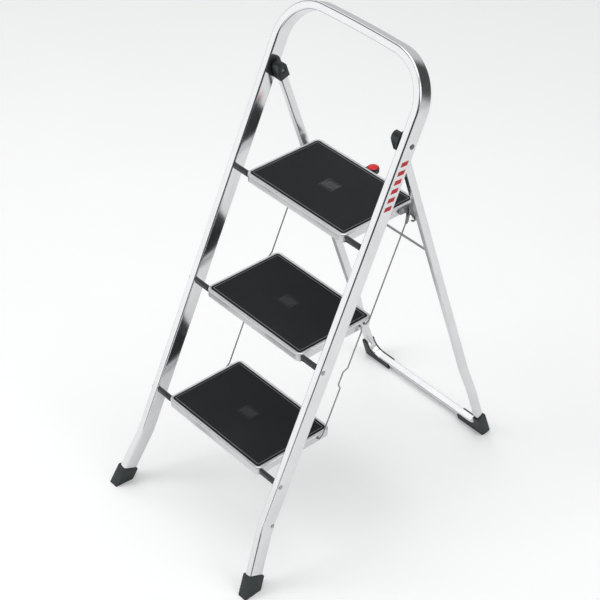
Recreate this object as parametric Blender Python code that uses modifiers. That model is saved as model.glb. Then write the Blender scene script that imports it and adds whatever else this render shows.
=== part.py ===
"""Folding three-tread step stool with a high hand rail.

Units are metres, +Z is up, the front of the stool faces -Y and the width
runs along X.  The origin is on the floor under the middle of the stool.

Two flat frames meet at a pair of hinge pins: the front frame is one bent
rectangular tube that also makes the hand rail, the rear frame is a narrower
bent tube.  Three treads turn on cross axles in the front rails, four bent
steel links keep them parallel, and a sprung lock bail under the top tread
hooks round two studs on the rear legs.
"""
import math

import bmesh
import bpy
import numpy as np
from mathutils import Matrix, Vector

# ------------------------------------------------------------------ sizes
MM = 0.001
Y_SHIFT = -0.3728            # puts the stool's depth evenly about Y = 0

# front frame
ALPHA = math.radians(64.7)   # rails above the horizontal
RAIL_FRONT_Y = 3.1 * MM      # front plane of the rails at floor level
FRAME_W = 416.0 * MM         # outside width across the straight rails
TUBE_A = 18.5 * MM           # front face width of the tube
TUBE_B = 34.5 * MM           # depth of the tube
FRAME_LEN = 1158.0 * MM      # floor to crown, along the rails
CROWN_R = 106.0 * MM         # outer radius of the two top bends
CROWN_SAG = 1.5 * MM
SPLAY = 22.0 * MM            # feet stand this much wider on each side
S_BEND = 150.0 * MM          # where the splay starts, along the rail
FOOT_S = 20.0 * MM           # lower end of the tube inside the foot
FOOT_TOP = 49.0 * MM         # upper edge of the foot, along the rail
TUBE_EDGE = 3.4 * MM

# rear frame
BETA = math.radians(72.1)    # rear legs above the horizontal
REAR_W = 360.0 * MM          # outside width of the rear legs
REAR_A = 14.3 * MM
REAR_B = 17.5 * MM
REAR_JOG = 7.5 * MM          # legs step outwards above the foot
REAR_CORNER_R = 42.0 * MM    # outer radius of the two bottom bends
HINGE_S = 993.0 * MM         # hinge pin along the rail
HINGE_T = 20.5 * MM          # hinge pin behind the front plane

# treads
AXLE_S = [252.2 * MM, 512.2 * MM, 772.2 * MM]   # bottom, middle, top
AXLE_T = 7.0 * MM
TREAD_W = 295.0 * MM
TREAD_Y0 = -9.0 * MM         # front edge, from the axle
TREAD_Y1 = 187.0 * MM        # rear edge, from the axle
RIM_Z = 11.0 * MM            # rim above the axle
SKIRT_Z = -8.0 * MM          # skirt bottom, from the axle
TREAD_R = 13.0 * MM          # corner radius in plan
WALL = 2.0 * MM
DECK = 3.0 * MM
MAT_INSET = 6.5 * MM
MAT_RECESS = 1.3 * MM

ROD_R = 3.0 * MM             # axle rods and hinge pins
ROD_HOLE = 3.3 * MM
SLEEVE_R = 5.0 * MM
SLEEVE_UP = 4.2 * MM         # extra height of the sleeves above the axle
GAP = 0.3 * MM

# links
WIRE_R = 1.5 * MM
WIRE_X = 152.0 * MM
UP_PIVOT = (163.0 * MM, 3.0 * MM)    # upper link pivot from a tread's axle
LP_PIVOT = (151.5 * MM, 2.5 * MM)    # lower link pivot from a tread's axle
UP_OFF = 5.6 * MM            # straight run of the link behind its pivots
LP_OFF = 5.4 * MM
LP_KINK = -4.0 * MM

# lock
BAIL_PIVOT = (178.0 * MM, -3.0 * MM)  # from the top tread's axle
BAIL_R = 2.0 * MM
LEVER_Y = 205.3 * MM         # centre of the lever's paddle, from the axle
LEVER_R = 12.8 * MM
STUD_Y, STUD_Z = 176.3 * MM, -26.6 * MM  # from the top tread's axle
STUD_R = 3.6 * MM
CROSS_ROD_L = 326.5 * MM     # cross rod below the hinge, along the leg
CROSS_ROD_R = 2.5 * MM

U = Vector((0.0, math.cos(ALPHA), math.sin(ALPHA)))      # up the rails
N = Vector((0.0, math.sin(ALPHA), -math.cos(ALPHA)))     # rearwards of them
ORG = Vector((0.0, RAIL_FRONT_Y + Y_SHIFT, 0.0))
D = Vector((0.0, math.cos(BETA), -math.sin(BETA)))       # down the rear legs
E = Vector((0.0, math.sin(BETA), math.cos(BETA)))        # rearwards of them


def rail(s, t, x=0.0):
    return ORG + U * s + N * t + Vector((x, 0.0, 0.0))


HINGE = rail(HINGE_S, HINGE_T)
AXLES = [rail(s, AXLE_T) for s in AXLE_S]


def leg(length, n, x=0.0):
    return HINGE + D * length + E * n + Vector((x, 0.0, 0.0))


LEG_LEN = HINGE.z / math.sin(BETA)       # hinge pin to floor along the leg

# ------------------------------------------------------------------ set-up
for ob in list(bpy.data.objects):
    bpy.data.objects.remove(ob, do_unlink=True)
for co in list(bpy.data.collections):
    bpy.data.collections.remove(co)

PARTS = bpy.data.collections.new("step_stool")
CUTS = bpy.data.collections.new("cutters")
bpy.context.scene.collection.children.link(PARTS)
bpy.context.scene.collection.children.link(CUTS)


def material(name, colour, metallic, roughness):
    mat = bpy.data.materials.new(name)
    mat.use_nodes = True
    bsdf = mat.node_tree.nodes["Principled BSDF"]
    bsdf.inputs["Base Color"].default_value = (*colour, 1.0)
    bsdf.inputs["Metallic"].default_value = metallic
    bsdf.inputs["Roughness"].default_value = roughness
    mat.diffuse_color = (*colour, 1.0)
    return mat


FINISH = {
    "alu": ((0.80, 0.80, 0.82), 1.0, 0.28),
    "steel": ((0.52, 0.54, 0.55), 1.0, 0.35),
    "plastic": ((0.03, 0.035, 0.038), 0.0, 0.45),
    "rubber": ((0.024, 0.026, 0.029), 0.0, 0.75),
    "red": ((0.60, 0.01, 0.012), 0.0, 0.35),
}


def finish(ob, name, kind, smooth=True):
    ob.name = name
    ob.data.name = name
    ob.data.materials.clear()
    ob.data.materials.append(material("mat_" + name, *FINISH[kind]))
    for p in ob.data.polygons:
        p.use_smooth = smooth
    return ob


def as_part(ob):
    for co in list(ob.users_collection):
        co.objects.unlink(ob)
    PARTS.objects.link(ob)
    return ob


def as_cutter(ob, name):
    for co in list(ob.users_collection):
        co.objects.unlink(ob)
    CUTS.objects.link(ob)
    ob.name = name
    ob.hide_render = True
    ob.display_type = "WIRE"
    return ob


# ---------------------------------------------------------------- builders
def weld(me, dist=0.00002):
    bm = bmesh.new()
    bm.from_mesh(me)
    bmesh.ops.remove_doubles(bm, verts=bm.verts, dist=dist)
    bmesh.ops.recalc_face_normals(bm, faces=bm.faces)
    bm.to_mesh(me)
    bm.free()


def curve_to_part(cu_ob):
    """Turn a curve object into a welded mesh object at the same place."""
    bpy.context.view_layer.update()
    dg = bpy.context.evaluated_depsgraph_get()
    me = bpy.data.meshes.new_from_object(cu_ob.evaluated_get(dg))
    mw = cu_ob.matrix_world.copy()
    weld(me)
    ob = bpy.data.objects.new(cu_ob.name + "_m", me)
    ob.matrix_world = mw
    bpy.context.scene.collection.objects.link(ob)
    bpy.data.objects.remove(cu_ob, do_unlink=True)
    return ob


def slab(loops, thickness, frame):
    """Extruded flat outline.  loops: lists of (u, v); the first is the
    outside.  frame is a matrix whose X and Y carry u and v; the slab is
    centred on its XY plane."""
    cu = bpy.data.curves.new("slab", "CURVE")
    cu.dimensions = "2D"
    cu.fill_mode = "BOTH"
    cu.extrude = thickness / 2.0
    for pts in loops:
        sp = cu.splines.new("POLY")
        sp.points.add(len(pts) - 1)
        for p, (u, v) in zip(sp.points, pts):
            p.co = (u, v, 0.0, 1.0)
        sp.use_cyclic_u = True
    ob = bpy.data.objects.new("slab", cu)
    bpy.context.scene.collection.objects.link(ob)
    ob.matrix_world = frame
    return curve_to_part(ob)


def wire(points, radius, resolution=2, handle=None):
    """Round wire through points in world space, ends capped."""
    cu = bpy.data.curves.new("wire", "CURVE")
    cu.dimensions = "3D"
    cu.bevel_depth = radius
    cu.bevel_resolution = resolution
    cu.use_fill_caps = True
    sp = cu.splines.new("POLY")
    o = Vector(points[0])
    sp.points.add(len(points) - 1)
    for p, q in zip(sp.points, points):
        v = Vector(q) - o
        p.co = (v.x, v.y, v.z, 1.0)
    ob = bpy.data.objects.new("wire", cu)
    bpy.context.scene.collection.objects.link(ob)
    ob.matrix_world = Matrix.Translation(o)
    return curve_to_part(ob)


def rounded_path(points, radius, steps=4):
    """Polyline with every inner corner replaced by an arc."""
    pts = [Vector(p) for p in points]
    out = [pts[0]]
    for a, b, c in zip(pts, pts[1:], pts[2:]):
        d1, d2 = (a - b).normalized(), (c - b).normalized()
        ang = d1.angle(d2)
        if abs(ang - math.pi) < 0.01:
            out.append(b)
            continue
        r = radius
        cut = min(r / math.tan(ang / 2.0), 0.48 * (a - b).length, 0.48 * (c - b).length)
        r = cut * math.tan(ang / 2.0)
        centre = b + (d1 + d2).normalized() * (r / math.sin(ang / 2.0))
        p1, p2 = b + d1 * cut, b + d2 * cut
        v1, v2 = p1 - centre, p2 - centre
        tot = v1.angle(v2)
        for k in range(steps + 1):
            f = k / steps
            w = (v1 * math.sin((1 - f) * tot) + v2 * math.sin(f * tot)) / math.sin(tot)
            out.append(centre + w)
    out.append(pts[-1])
    return out


def rounded_rect(x0, x1, y0, y1, r, steps=5):
    pts = []
    for cx, cy, a0 in ((x1 - r, y0 + r, -90), (x1 - r, y1 - r, 0),
                       (x0 + r, y1 - r, 90), (x0 + r, y0 + r, 180)):
        for k in range(steps + 1):
            a = math.radians(a0 + 90.0 * k / steps)
            pts.append((cx + r * math.cos(a), cy + r * math.sin(a)))
    return pts


def strip(centre, width):
    """Closed outline of a strip of constant width round an open path."""
    c = np.array(centre, float)
    seg = c[1:] - c[:-1]
    seg /= np.linalg.norm(seg, axis=1)[:, None]
    nrm = np.stack([-seg[:, 1], seg[:, 0]], axis=1)
    left, right = [], []
    for i in range(len(c)):
        if i == 0:
            m, k = nrm[0], 1.0
        elif i == len(c) - 1:
            m, k = nrm[-1], 1.0
        else:
            m = nrm[i - 1] + nrm[i]
            m /= np.linalg.norm(m)
            k = 1.0 / float(np.dot(m, nrm[i]))
        left.append(tuple(c[i] + m * k * width / 2.0))
        right.append(tuple(c[i] - m * k * width / 2.0))
    return left + right[::-1]


def rod_x(x0, x1, centre, radius, segs=20):
    """Round rod along X."""
    bpy.ops.mesh.primitive_cylinder_add(vertices=segs, radius=radius, depth=abs(x1 - x0),
                                        end_fill_type="NGON")
    ob = bpy.context.object
    ob.rotation_euler = (0.0, math.pi / 2.0, 0.0)
    ob.location = ((x0 + x1) / 2.0, centre.y, centre.z)
    bpy.ops.object.transform_apply(location=False, rotation=True, scale=True)
    return ob


def lathe_x(profile, centre, steps=20):
    """Solid of revolution about X.  profile: (x, r) from the top of a
    closed section down, the axis points having r = 0."""
    me = bpy.data.meshes.new("lathe")
    me.from_pydata([(r, 0.0, x) for x, r in profile], [(i, i + 1) for i in range(len(profile) - 1)], [])
    ob = bpy.data.objects.new("lathe", me)
    bpy.context.scene.collection.objects.link(ob)
    m = ob.modifiers.new("turn", "SCREW")
    m.angle = 2.0 * math.pi
    m.screw_offset = 0.0
    m.steps = steps
    m.render_steps = steps
    m.use_merge_vertices = True
    m.merge_threshold = 0.00002
    bake(ob)
    weld(ob.data)
    ob.matrix_world = (Matrix.Translation(Vector((0.0, centre.y, centre.z)))
                       @ Matrix.Rotation(math.pi / 2.0, 4, "Y"))
    bpy.context.view_layer.update()
    me = ob.data
    me.transform(ob.matrix_world.to_3x3().to_4x4())
    ob.matrix_world = Matrix.Translation(Vector((0.0, centre.y, centre.z)))
    weld(me)
    return ob


def bake(ob):
    """Apply an object's modifiers."""
    bpy.context.view_layer.update()
    dg = bpy.context.evaluated_depsgraph_get()
    me = bpy.data.meshes.new_from_object(ob.evaluated_get(dg))
    ob.modifiers.clear()
    old = ob.data
    ob.data = me
    if old.users == 0:
        bpy.data.meshes.remove(old)
    return ob


def cut(ob, cutter, name, op="DIFFERENCE"):
    as_cutter(cutter, name)
    bpy.context.view_layer.update()
    m = ob.modifiers.new(name, "BOOLEAN")
    m.operation = op
    m.solver = "EXACT"
    m.object = cutter
    return ob


def round_edges(ob, width, segments=2, angle=40.0):
    m = ob.modifiers.new("edge", "BEVEL")
    m.width = width
    m.segments = segments
    m.limit_method = "ANGLE"
    m.angle_limit = math.radians(angle)
    m.use_clamp_overlap = True
    return ob


def flat_frame(origin, u, v):
    """Matrix with X along u, Y along v."""
    u, v = Vector(u).normalized(), Vector(v).normalized()
    w = u.cross(v)
    m = Matrix((u, v, w)).transposed().to_4x4()
    m.translation = Vector(origin)
    return m


X = Vector((1.0, 0.0, 0.0))


def set_origin(ob, point):
    """Move the object's origin without moving its shape."""
    bpy.context.view_layer.update()
    point = Vector(point)
    mw = ob.matrix_world.copy()
    ob.data.transform(Matrix.Translation(-point) @ mw)
    ob.matrix_world = Matrix.Translation(point)
    return ob


# ------------------------------------------------------------- front frame
def front_centre():
    """Centreline of the front tube in the rail plane, as (x, s)."""
    half = FRAME_W / 2.0 - TUBE_A / 2.0
    slope = SPLAY / S_BEND
    right = [(half + SPLAY - slope * FOOT_S, FOOT_S), (half + slope * 0.024, S_BEND - 0.024),
             (half + slope * 0.0045, S_BEND - 0.006), (half, S_BEND + 0.003)]
    r = CROWN_R - TUBE_A / 2.0
    top = FRAME_LEN - TUBE_A / 2.0
    sc = top - CROWN_SAG - r
    for k in range(0, 10):
        a = math.radians(10.0 * k)
        right.append((half - r + r * math.cos(a), sc + r * math.sin(a)))
    right.append(((half - r) * 0.5, top - CROWN_SAG * 0.25))
    left = [(-x, s) for x, s in right[::-1]]
    return right + [(0.0, top)] + left


def build_front_frame():
    ob = slab([strip(front_centre(), TUBE_A)], TUBE_B,
              flat_frame(rail(0.0, TUBE_B / 2.0), X, U))
    round_edges(ob, TUBE_EDGE, 2)
    bake(ob)
    weld(ob.data)
    as_part(ob)
    for i, ax in enumerate(AXLES):
        reach = 0.23 if i < 2 else FRAME_W / 2.0 - 2.5 * MM
        cut(ob, rod_x(-reach, reach, ax, ROD_HOLE, 16), "cut_axle_%d" % i)
    cut(ob, rod_x(-0.23, 0.23, HINGE, ROD_HOLE, 16), "cut_hinge")
    bake(ob)
    return finish(ob, "front_frame_tube", "alu")


def build_front_foot(side):
    """Plastic cap over the splayed tube end, cut flat on the floor."""
    half = FRAME_W / 2.0 - TUBE_A / 2.0
    slope = math.atan(SPLAY / S_BEND)
    wall = 2.2 * MM
    down = (U * -math.cos(slope) + X * (side * math.sin(slope))).normalized()
    across = N.cross(down).normalized()
    top = rail(FOOT_TOP, TUBE_B / 2.0, side * (half + SPLAY * (1.0 - FOOT_TOP / S_BEND)))
    frame = flat_frame(top, N, down)
    w = TUBE_B + 2.0 * wall
    prof = rounded_rect(-w / 2.0, w / 2.0, 0.0, 0.070, 3.0 * MM, 2)
    ob = slab([prof], TUBE_A + 2.0 * wall, frame)
    round_edges(ob, 1.6 * MM, 2)
    bake(ob)
    weld(ob.data)
    as_part(ob)
    nm = "left" if side < 0 else "right"
    pocket = slab([rounded_rect(-TUBE_B / 2.0 - GAP, TUBE_B / 2.0 + GAP, -0.01,
                               (FOOT_TOP - FOOT_S) / math.cos(slope) + 0.6 * MM, 1.0 * MM, 1)],
                  TUBE_A + 2.0 * GAP, frame)
    cut(ob, pocket, "cut_foot_pocket_" + nm)
    bpy.ops.mesh.primitive_cube_add(size=1.0)
    floor = bpy.context.object
    floor.scale = (0.2, 0.3, 0.1)
    floor.location = (top.x, ORG.y, -0.05)
    bpy.ops.object.transform_apply(location=False, rotation=False, scale=True)
    cut(ob, floor, "cut_foot_floor_" + nm)
    # rear lower corner of the foot is cut back
    heel_o = rail(0.0, 0.0, top.x) + Vector((0.0, TUBE_B / math.sin(ALPHA) + 0.0016, 0.0))
    bpy.ops.mesh.primitive_cube_add(size=1.0)
    heel = bpy.context.object
    heel.scale = (0.2, 0.03, 0.03)
    heel.rotation_euler = (math.radians(-38.0), 0.0, 0.0)
    heel.location = (top.x, heel_o.y + 0.0135, heel_o.z - 0.0085)
    bpy.ops.object.transform_apply(location=False, rotation=False, scale=True)
    cut(ob, heel, "cut_foot_heel_" + nm)
    bake(ob)
    weld(ob.data)
    return finish(ob, "front_foot_" + nm, "plastic")


def build_axle(i, label):
    """Cross axle: the lower two have a domed head outside each rail, the top one ends inside them."""
    out = FRAME_W / 2.0
    head = [(out + 1.9 * MM, 0.0), (out + 1.7 * MM, 2.4 * MM), (out + 1.1 * MM, 4.2 * MM),
            (out + GAP, 5.2 * MM), (out + GAP, ROD_R)]
    if i == 2:
        head = [(out - 2.8 * MM, 0.0), (out - 2.8 * MM, ROD_R)]
    prof = head + [(-x, r) for x, r in head[::-1]]
    ob = lathe_x(prof, AXLES[i], 18)
    as_part(ob)
    return finish(ob, "step_axle_" + label, "steel")


def tube_x(x0, x1, centre, r_out, r_in, steps=20, lip=0.0, lip_w=0.0):
    """Short sleeve along X with an optional raised collar at x1."""
    prof = [(x0, r_in), (x0, r_out)]
    if lip > 0.0:
        sgn = 1.0 if x1 > x0 else -1.0
        prof += [(x1 - sgn * lip_w, r_out), (x1 - sgn * lip_w, r_out + lip), (x1, r_out + lip)]
    else:
        prof += [(x1, r_out)]
    prof += [(x1, r_in), (x0, r_in)]
    return lathe_x(prof, centre, steps)


def build_sleeve(i, label, side):
    x0 = side * (TREAD_W / 2.0 + 0.5 * MM)
    x1 = side * (FRAME_W / 2.0 - TUBE_A - GAP)
    arc = [math.radians(22.5 * k) for k in range(9)]
    loop = ([(SLEEVE_R * math.cos(a), SLEEVE_R * math.sin(a) + SLEEVE_UP) for a in arc]
            + [(-SLEEVE_R * math.cos(a), -SLEEVE_R * math.sin(a)) for a in arc])
    ob = slab([loop], abs(x1 - x0), yz_frame(AXLES[i] + X * ((x0 + x1) / 2.0)))
    as_part(ob)
    cut(ob, rod_x(-0.23, 0.23, AXLES[i], ROD_HOLE, 16), "cut_sleeve_%s_%s" % (label, "left" if side < 0 else "right"))
    bake(ob)
    return finish(ob, "axle_sleeve_%s_%s" % (label, "left" if side < 0 else "right"), "plastic")


def build_hinge_bracket(side):
    """Plastic plate on the inner face of the rail round the hinge pin."""
    inner = FRAME_W / 2.0 - TUBE_A
    x0, x1 = inner - 4.7 * MM, inner - GAP
    pts = [(970.0, 26.0), (975.0, 10.0), (979.0, 0.5), (988.0, -1.5), (1004.0, -1.5), (1012.0, 1.0),
           (1016.0, 7.0), (1014.0, 22.0), (1006.0, 31.0), (994.0, 35.0), (978.0, 34.0)]
    loop = [(s * MM - HINGE_S, t * MM - HINGE_T) for s, t in pts]
    ob = slab([loop], x1 - x0, flat_frame(HINGE + X * (side * (x0 + x1) / 2.0), U, N))
    round_edges(ob, 1.0 * MM, 2, 50.0)
    bake(ob)
    weld(ob.data)
    as_part(ob)
    nm = "left" if side < 0 else "right"
    cut(ob, rod_x(side * (x0 - 0.01), side * (x1 + 0.01), HINGE, ROD_HOLE, 16), "cut_bracket_" + nm)
    bake(ob)
    return finish(ob, "hinge_bracket_" + nm, "plastic")


CAP_X0 = REAR_W / 2.0 - REAR_A - 3.0 * MM
CAP_X1 = REAR_W / 2.0 + 3.2 * MM
CAP_BORE_R = 6.5 * MM         # counterbore for the pin head, inner face
CAP_BORE_H = 1.4 * MM


def build_hinge_pin(side):
    out = FRAME_W / 2.0
    inn = CAP_X0 + CAP_BORE_H
    prof = [(out + 2.1 * MM, 0.0), (out + 1.9 * MM, 2.6 * MM), (out + 1.2 * MM, 4.6 * MM),
            (out + GAP, 5.6 * MM), (out + GAP, ROD_R), (inn - GAP, ROD_R), (inn - GAP, 4.4 * MM),
            (inn - 0.9 * MM, 3.7 * MM), (inn - 1.4 * MM, 2.0 * MM), (inn - 1.5 * MM, 0.0)]
    ob = lathe_x([(side * x, r) for x, r in prof], HINGE, 18)
    as_part(ob)
    return finish(ob, "hinge_pin_" + ("left" if side < 0 else "right"), "steel")


def build_rail_rivet(side):
    """Rivet that fixes the foot insert just above the splay bend."""
    out = FRAME_W / 2.0
    centre = rail(0.1585, 0.0265)
    prof = [(out + 1.8 * MM, 0.0), (out + 1.6 * MM, 2.2 * MM), (out + 1.1 * MM, 3.7 * MM),
            (out + GAP, 4.4 * MM), (out + GAP, 0.0)]
    ob = lathe_x([(side * x, r) for x, r in prof], centre, 16)
    as_part(ob)
    return finish(ob, "rail_rivet_" + ("left" if side < 0 else "right"), "steel")


# -------------------------------------------------------------- rear frame
BAR_CENTRE_L = LEG_LEN - 5.8 * MM / math.sin(BETA) - REAR_A / 2.0


def rear_centre():
    """Centreline of the rear tube in its plane, as (x, length down)."""
    half = REAR_W / 2.0 - REAR_A / 2.0
    low = half + REAR_JOG
    r = REAR_CORNER_R - REAR_A / 2.0
    right = [(half, -8.0 * MM), (half, 0.700), (half + 0.25 * REAR_JOG, 0.722),
             (half + 0.75 * REAR_JOG, 0.775), (low, 0.800)]
    for k in range(0, 9):
        a = math.radians(90.0 * k / 8.0)
        right.append((low - r + r * math.cos(a), BAR_CENTRE_L - r + r * math.sin(a)))
    left = [(-x, s) for x, s in right[::-1]]
    return right + left


def build_rear_frame():
    ob = slab([strip(rear_centre(), REAR_A)], REAR_B, flat_frame(HINGE, X, D))
    round_edges(ob, 1.8 * MM, 2)
    bake(ob)
    weld(ob.data)
    as_part(ob)
    cut(ob, rod_x(-0.20, 0.20, HINGE, ROD_HOLE, 16), "cut_leg_hinge")
    reach = REAR_W / 2.0 - 2.5 * MM
    cut(ob, rod_x(-reach, reach, leg(CROSS_ROD_L, 0.0), CROSS_ROD_R + GAP, 12), "cut_leg_rod")
    stud = AXLES[2] + Vector((0.0, STUD_Y, STUD_Z))
    for side in (-1, 1):
        x0 = REAR_W / 2.0 - REAR_A - 0.001
        cut(ob, rod_x(side * x0, side * (x0 + 0.0072), stud, 2.5 * MM + GAP, 12),
            "cut_leg_stud_" + ("left" if side < 0 else "right"))
    bake(ob)
    ob = finish(ob, "rear_frame_tube", "alu")
    return set_origin(ob, HINGE)


def build_cross_rod():
    c = leg(CROSS_ROD_L, 0.0)
    end = REAR_W / 2.0 - 2.8 * MM
    tip = [(end, 0.0), (end, CROSS_ROD_R - 0.4 * MM), (end - 0.4 * MM, CROSS_ROD_R)]
    ob = lathe_x(tip + [(-x, r) for x, r in tip[::-1]], c, 14)
    as_part(ob)
    return finish(ob, "rear_cross_rod", "steel")


def build_stud(side):
    """Headed stud on the inner face of the rear leg that carries the tread."""
    c = AXLES[2] + Vector((0.0, STUD_Y, STUD_Z))
    x_in = TREAD_W / 2.0 + 0.3 * MM
    x_leg = REAR_W / 2.0 - REAR_A
    prof = [(x_in, 0.0), (x_in, STUD_R - 0.6 * MM), (x_in + 0.6 * MM, STUD_R), (x_leg - GAP, STUD_R),
            (x_leg - GAP, 2.5 * MM), (x_leg + 5.8 * MM, 2.5 * MM), (x_leg + 5.8 * MM, 0.0)]
    ob = lathe_x([(side * x, r) for x, r in prof], c, 18)
    as_part(ob)
    return finish(ob, "leg_stud_" + ("left" if side < 0 else "right"), "steel")


def build_hinge_cap(side):
    """Angular plastic cap over the top of the rear leg."""
    pts = [(21.0, 11.9), (-8.0, 11.9), (-15.3, 7.2), (-17.0, 0.5), (-14.2, -6.3), (-8.0, -10.9),
           (1.0, -11.9), (21.0, -11.9)]
    loop = [(l * MM, n * MM) for l, n in pts]
    frame = flat_frame(HINGE + X * (side * (CAP_X0 + CAP_X1) / 2.0), D, E)
    ob = slab([loop], CAP_X1 - CAP_X0, frame)
    round_edges(ob, 1.2 * MM, 1, 25.0)
    bake(ob)
    weld(ob.data)
    as_part(ob)
    nm = "left" if side < 0 else "right"
    mid = side * (REAR_W / 2.0 - REAR_A / 2.0)
    pocket = slab([rounded_rect(-8.3 * MM, 0.040, -REAR_B / 2.0 - GAP, REAR_B / 2.0 + GAP, 1.0 * MM, 1)],
                  REAR_A + 2.0 * GAP, flat_frame(HINGE + X * mid, D, E))
    cut(ob, pocket, "cut_cap_pocket_" + nm)
    cut(ob, rod_x(side * (CAP_X0 - 0.005), side * (CAP_X0 + CAP_BORE_H), HINGE, CAP_BORE_R, 24), "cut_cap_bore_" + nm)
    cut(ob, rod_x(side * (CAP_X0 - 0.01), side * (CAP_X1 + 0.01), HINGE, ROD_HOLE, 16), "cut_cap_pin_" + nm)
    bake(ob)
    weld(ob.data)
    ob = finish(ob, "hinge_cap_" + nm, "plastic")
    return set_origin(ob, HINGE)


def build_rear_foot(side):
    """Channel-shaped plastic shoe round the outside of a bottom bend."""
    low = REAR_W / 2.0 + REAR_JOG              # outer face of the leg
    web, flange, flare = 3.4 * MM, 2.8 * MM, 2.0 * MM
    bar_out = BAR_CENTRE_L + REAR_A / 2.0      # underside of the bar
    floor_l = LEG_LEN + 0.0                     # floor, along the leg
    top_l = LEG_LEN - 0.0565
    x_in = low - 0.072
    r_out = 3.0 * MM
    outer = [(low + web, top_l)]
    cx, cl = low + web + flare - r_out, floor_l + 2.0 * MM - r_out
    for k in range(0, 3):
        a = math.radians(45.0 * k)
        outer.append((cx + r_out * math.cos(a), cl + r_out * math.sin(a)))
    outer.append((x_in, floor_l + 2.0 * MM))
    ri = 26.0 * MM
    fl = 13.2 * MM
    ix, il = low - fl, bar_out - 12.5 * MM
    inner = [(x_in, il)]
    for k in range(6, -1, -1):
        a = math.radians(15.0 * k)
        inner.append((ix - ri + ri * math.cos(a), il - ri + ri * math.sin(a)))
    inner.append((ix, top_l))
    pts = [(side * x, l) for x, l in outer + inner]
    frame = flat_frame(HINGE, X, D)
    ob = slab([pts], REAR_B + 2.0 * flange + 2.0 * GAP, frame)
    round_edges(ob, 0.8 * MM, 1, 50.0)
    bake(ob)
    weld(ob.data)
    as_part(ob)
    nm = "left" if side < 0 else "right"
    half = REAR_W / 2.0 - REAR_A / 2.0 + REAR_JOG
    r = REAR_CORNER_R - REAR_A / 2.0
    cpath = [(side * half, 0.860)]
    for k in range(0, 9):
        a = math.radians(90.0 * k / 8.0)
        cpath.append((side * (half - r + r * math.cos(a)), BAR_CENTRE_L - r + r * math.sin(a)))
    cpath.append((side * 0.08, BAR_CENTRE_L))
    groove = slab([strip(cpath, REAR_A + 2.0 * GAP)], REAR_B + 2.0 * GAP, frame)
    cut(ob, groove, "cut_shoe_" + nm)
    # the shoe's sole is level with the floor
    bpy.ops.mesh.primitive_cube_add(size=1.0)
    floor = bpy.context.object
    floor.scale = (0.3, 0.2, 0.1)
    floor.location = (side * 0.15, leg(LEG_LEN, 0.0).y, -0.05)
    bpy.ops.object.transform_apply(location=False, rotation=False, scale=True)
    cut(ob, floor, "cut_shoe_floor_" + nm)
    bake(ob)
    weld(ob.data)
    ob = finish(ob, "rear_foot_" + nm, "plastic")
    return set_origin(ob, HINGE)


# ------------------------------------------------------------------ treads
def tread_frame(i, z):
    return flat_frame(AXLES[i] + Vector((0.0, 0.0, z)), X, Vector((0.0, 1.0, 0.0)))


def build_tray(i, label):
    hw = TREAD_W / 2.0
    ob = slab([rounded_rect(-hw, hw, TREAD_Y0, TREAD_Y1, TREAD_R, 5)], RIM_Z - SKIRT_Z,
              tread_frame(i, (RIM_Z + SKIRT_Z) / 2.0))
    # the top edge all round is rolled over
    me = ob.data
    m = ob.modifiers.new("rim", "BEVEL")
    m.width = 3.0 * MM
    m.segments = 3
    m.limit_method = "WEIGHT"
    bw = me.attributes.new("bevel_weight_edge", "FLOAT", "EDGE")
    top = (RIM_Z - SKIRT_Z) / 2.0
    for e in me.edges:
        if all(abs(me.vertices[v].co.z - top) < 1e-5 for v in e.vertices):
            bw.data[e.index].value = 1.0
    bake(ob)
    weld(ob.data)
    as_part(ob)
    hollow = slab([rounded_rect(-hw + WALL, hw - WALL, TREAD_Y0 + WALL, TREAD_Y1 - WALL, TREAD_R - WALL, 4)],
                  0.040, tread_frame(i, RIM_Z - DECK - 0.020))
    cut(ob, hollow, "cut_hollow_" + label)
    q = MAT_INSET
    recess = slab([rounded_rect(-hw + q, hw - q, TREAD_Y0 + q, TREAD_Y1 - q, TREAD_R - q * 0.6, 4)],
                  0.010, tread_frame(i, RIM_Z - MAT_RECESS + 0.005))
    cut(ob, recess, "cut_recess_" + label)
    holes = [((0.0, 0.0), ROD_HOLE)]
    if i == 2:
        holes += [(UP_PIVOT, WIRE_R + GAP), (BAIL_PIVOT, BAIL_R + GAP)]
    if i == 1:
        holes += [(UP_PIVOT, WIRE_R + GAP), (LP_PIVOT, WIRE_R + GAP)]
    if i == 0:
        holes += [(LP_PIVOT, WIRE_R + GAP)]
    for k, ((dy, dz), r) in enumerate(holes):
        cut(ob, rod_x(-0.16, 0.16, AXLES[i] + Vector((0.0, dy, dz)), r, 12), "cut_hole_%s_%d" % (label, k))
    if i == 2:
        bpy.ops.mesh.primitive_cube_add(size=1.0)
        slot = bpy.context.object
        slot.scale = (0.022, 0.012, 0.018)
        slot.location = AXLES[i] + Vector((0.0, TREAD_Y1, SKIRT_Z + 0.0055))
        bpy.ops.object.transform_apply(location=False, rotation=False, scale=True)
        cut(ob, slot, "cut_lever_slot")
    bake(ob)
    ob = finish(ob, "tread_tray_" + label, "alu")
    return set_origin(ob, AXLES[i])


def build_mat(i, label):
    hw = TREAD_W / 2.0
    q = MAT_INSET + 0.35 * MM
    z0 = RIM_Z - MAT_RECESS + GAP
    z1 = RIM_Z + 0.7 * MM
    ob = slab([rounded_rect(-hw + q, hw - q, TREAD_Y0 + q, TREAD_Y1 - q, TREAD_R - q * 0.6, 4)],
              z1 - z0, tread_frame(i, (z0 + z1) / 2.0))
    as_part(ob)
    ob = finish(ob, "tread_mat_" + label, "rubber", smooth=False)
    return set_origin(ob, AXLES[i])


HOOK_X0 = TREAD_W / 2.0 + 0.3 * MM
HOOK_X1 = TREAD_W / 2.0 + 2.3 * MM


def yz_frame(centre):
    return flat_frame(centre, Vector((0.0, 1.0, 0.0)), Vector((0.0, 0.0, 1.0)))


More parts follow.
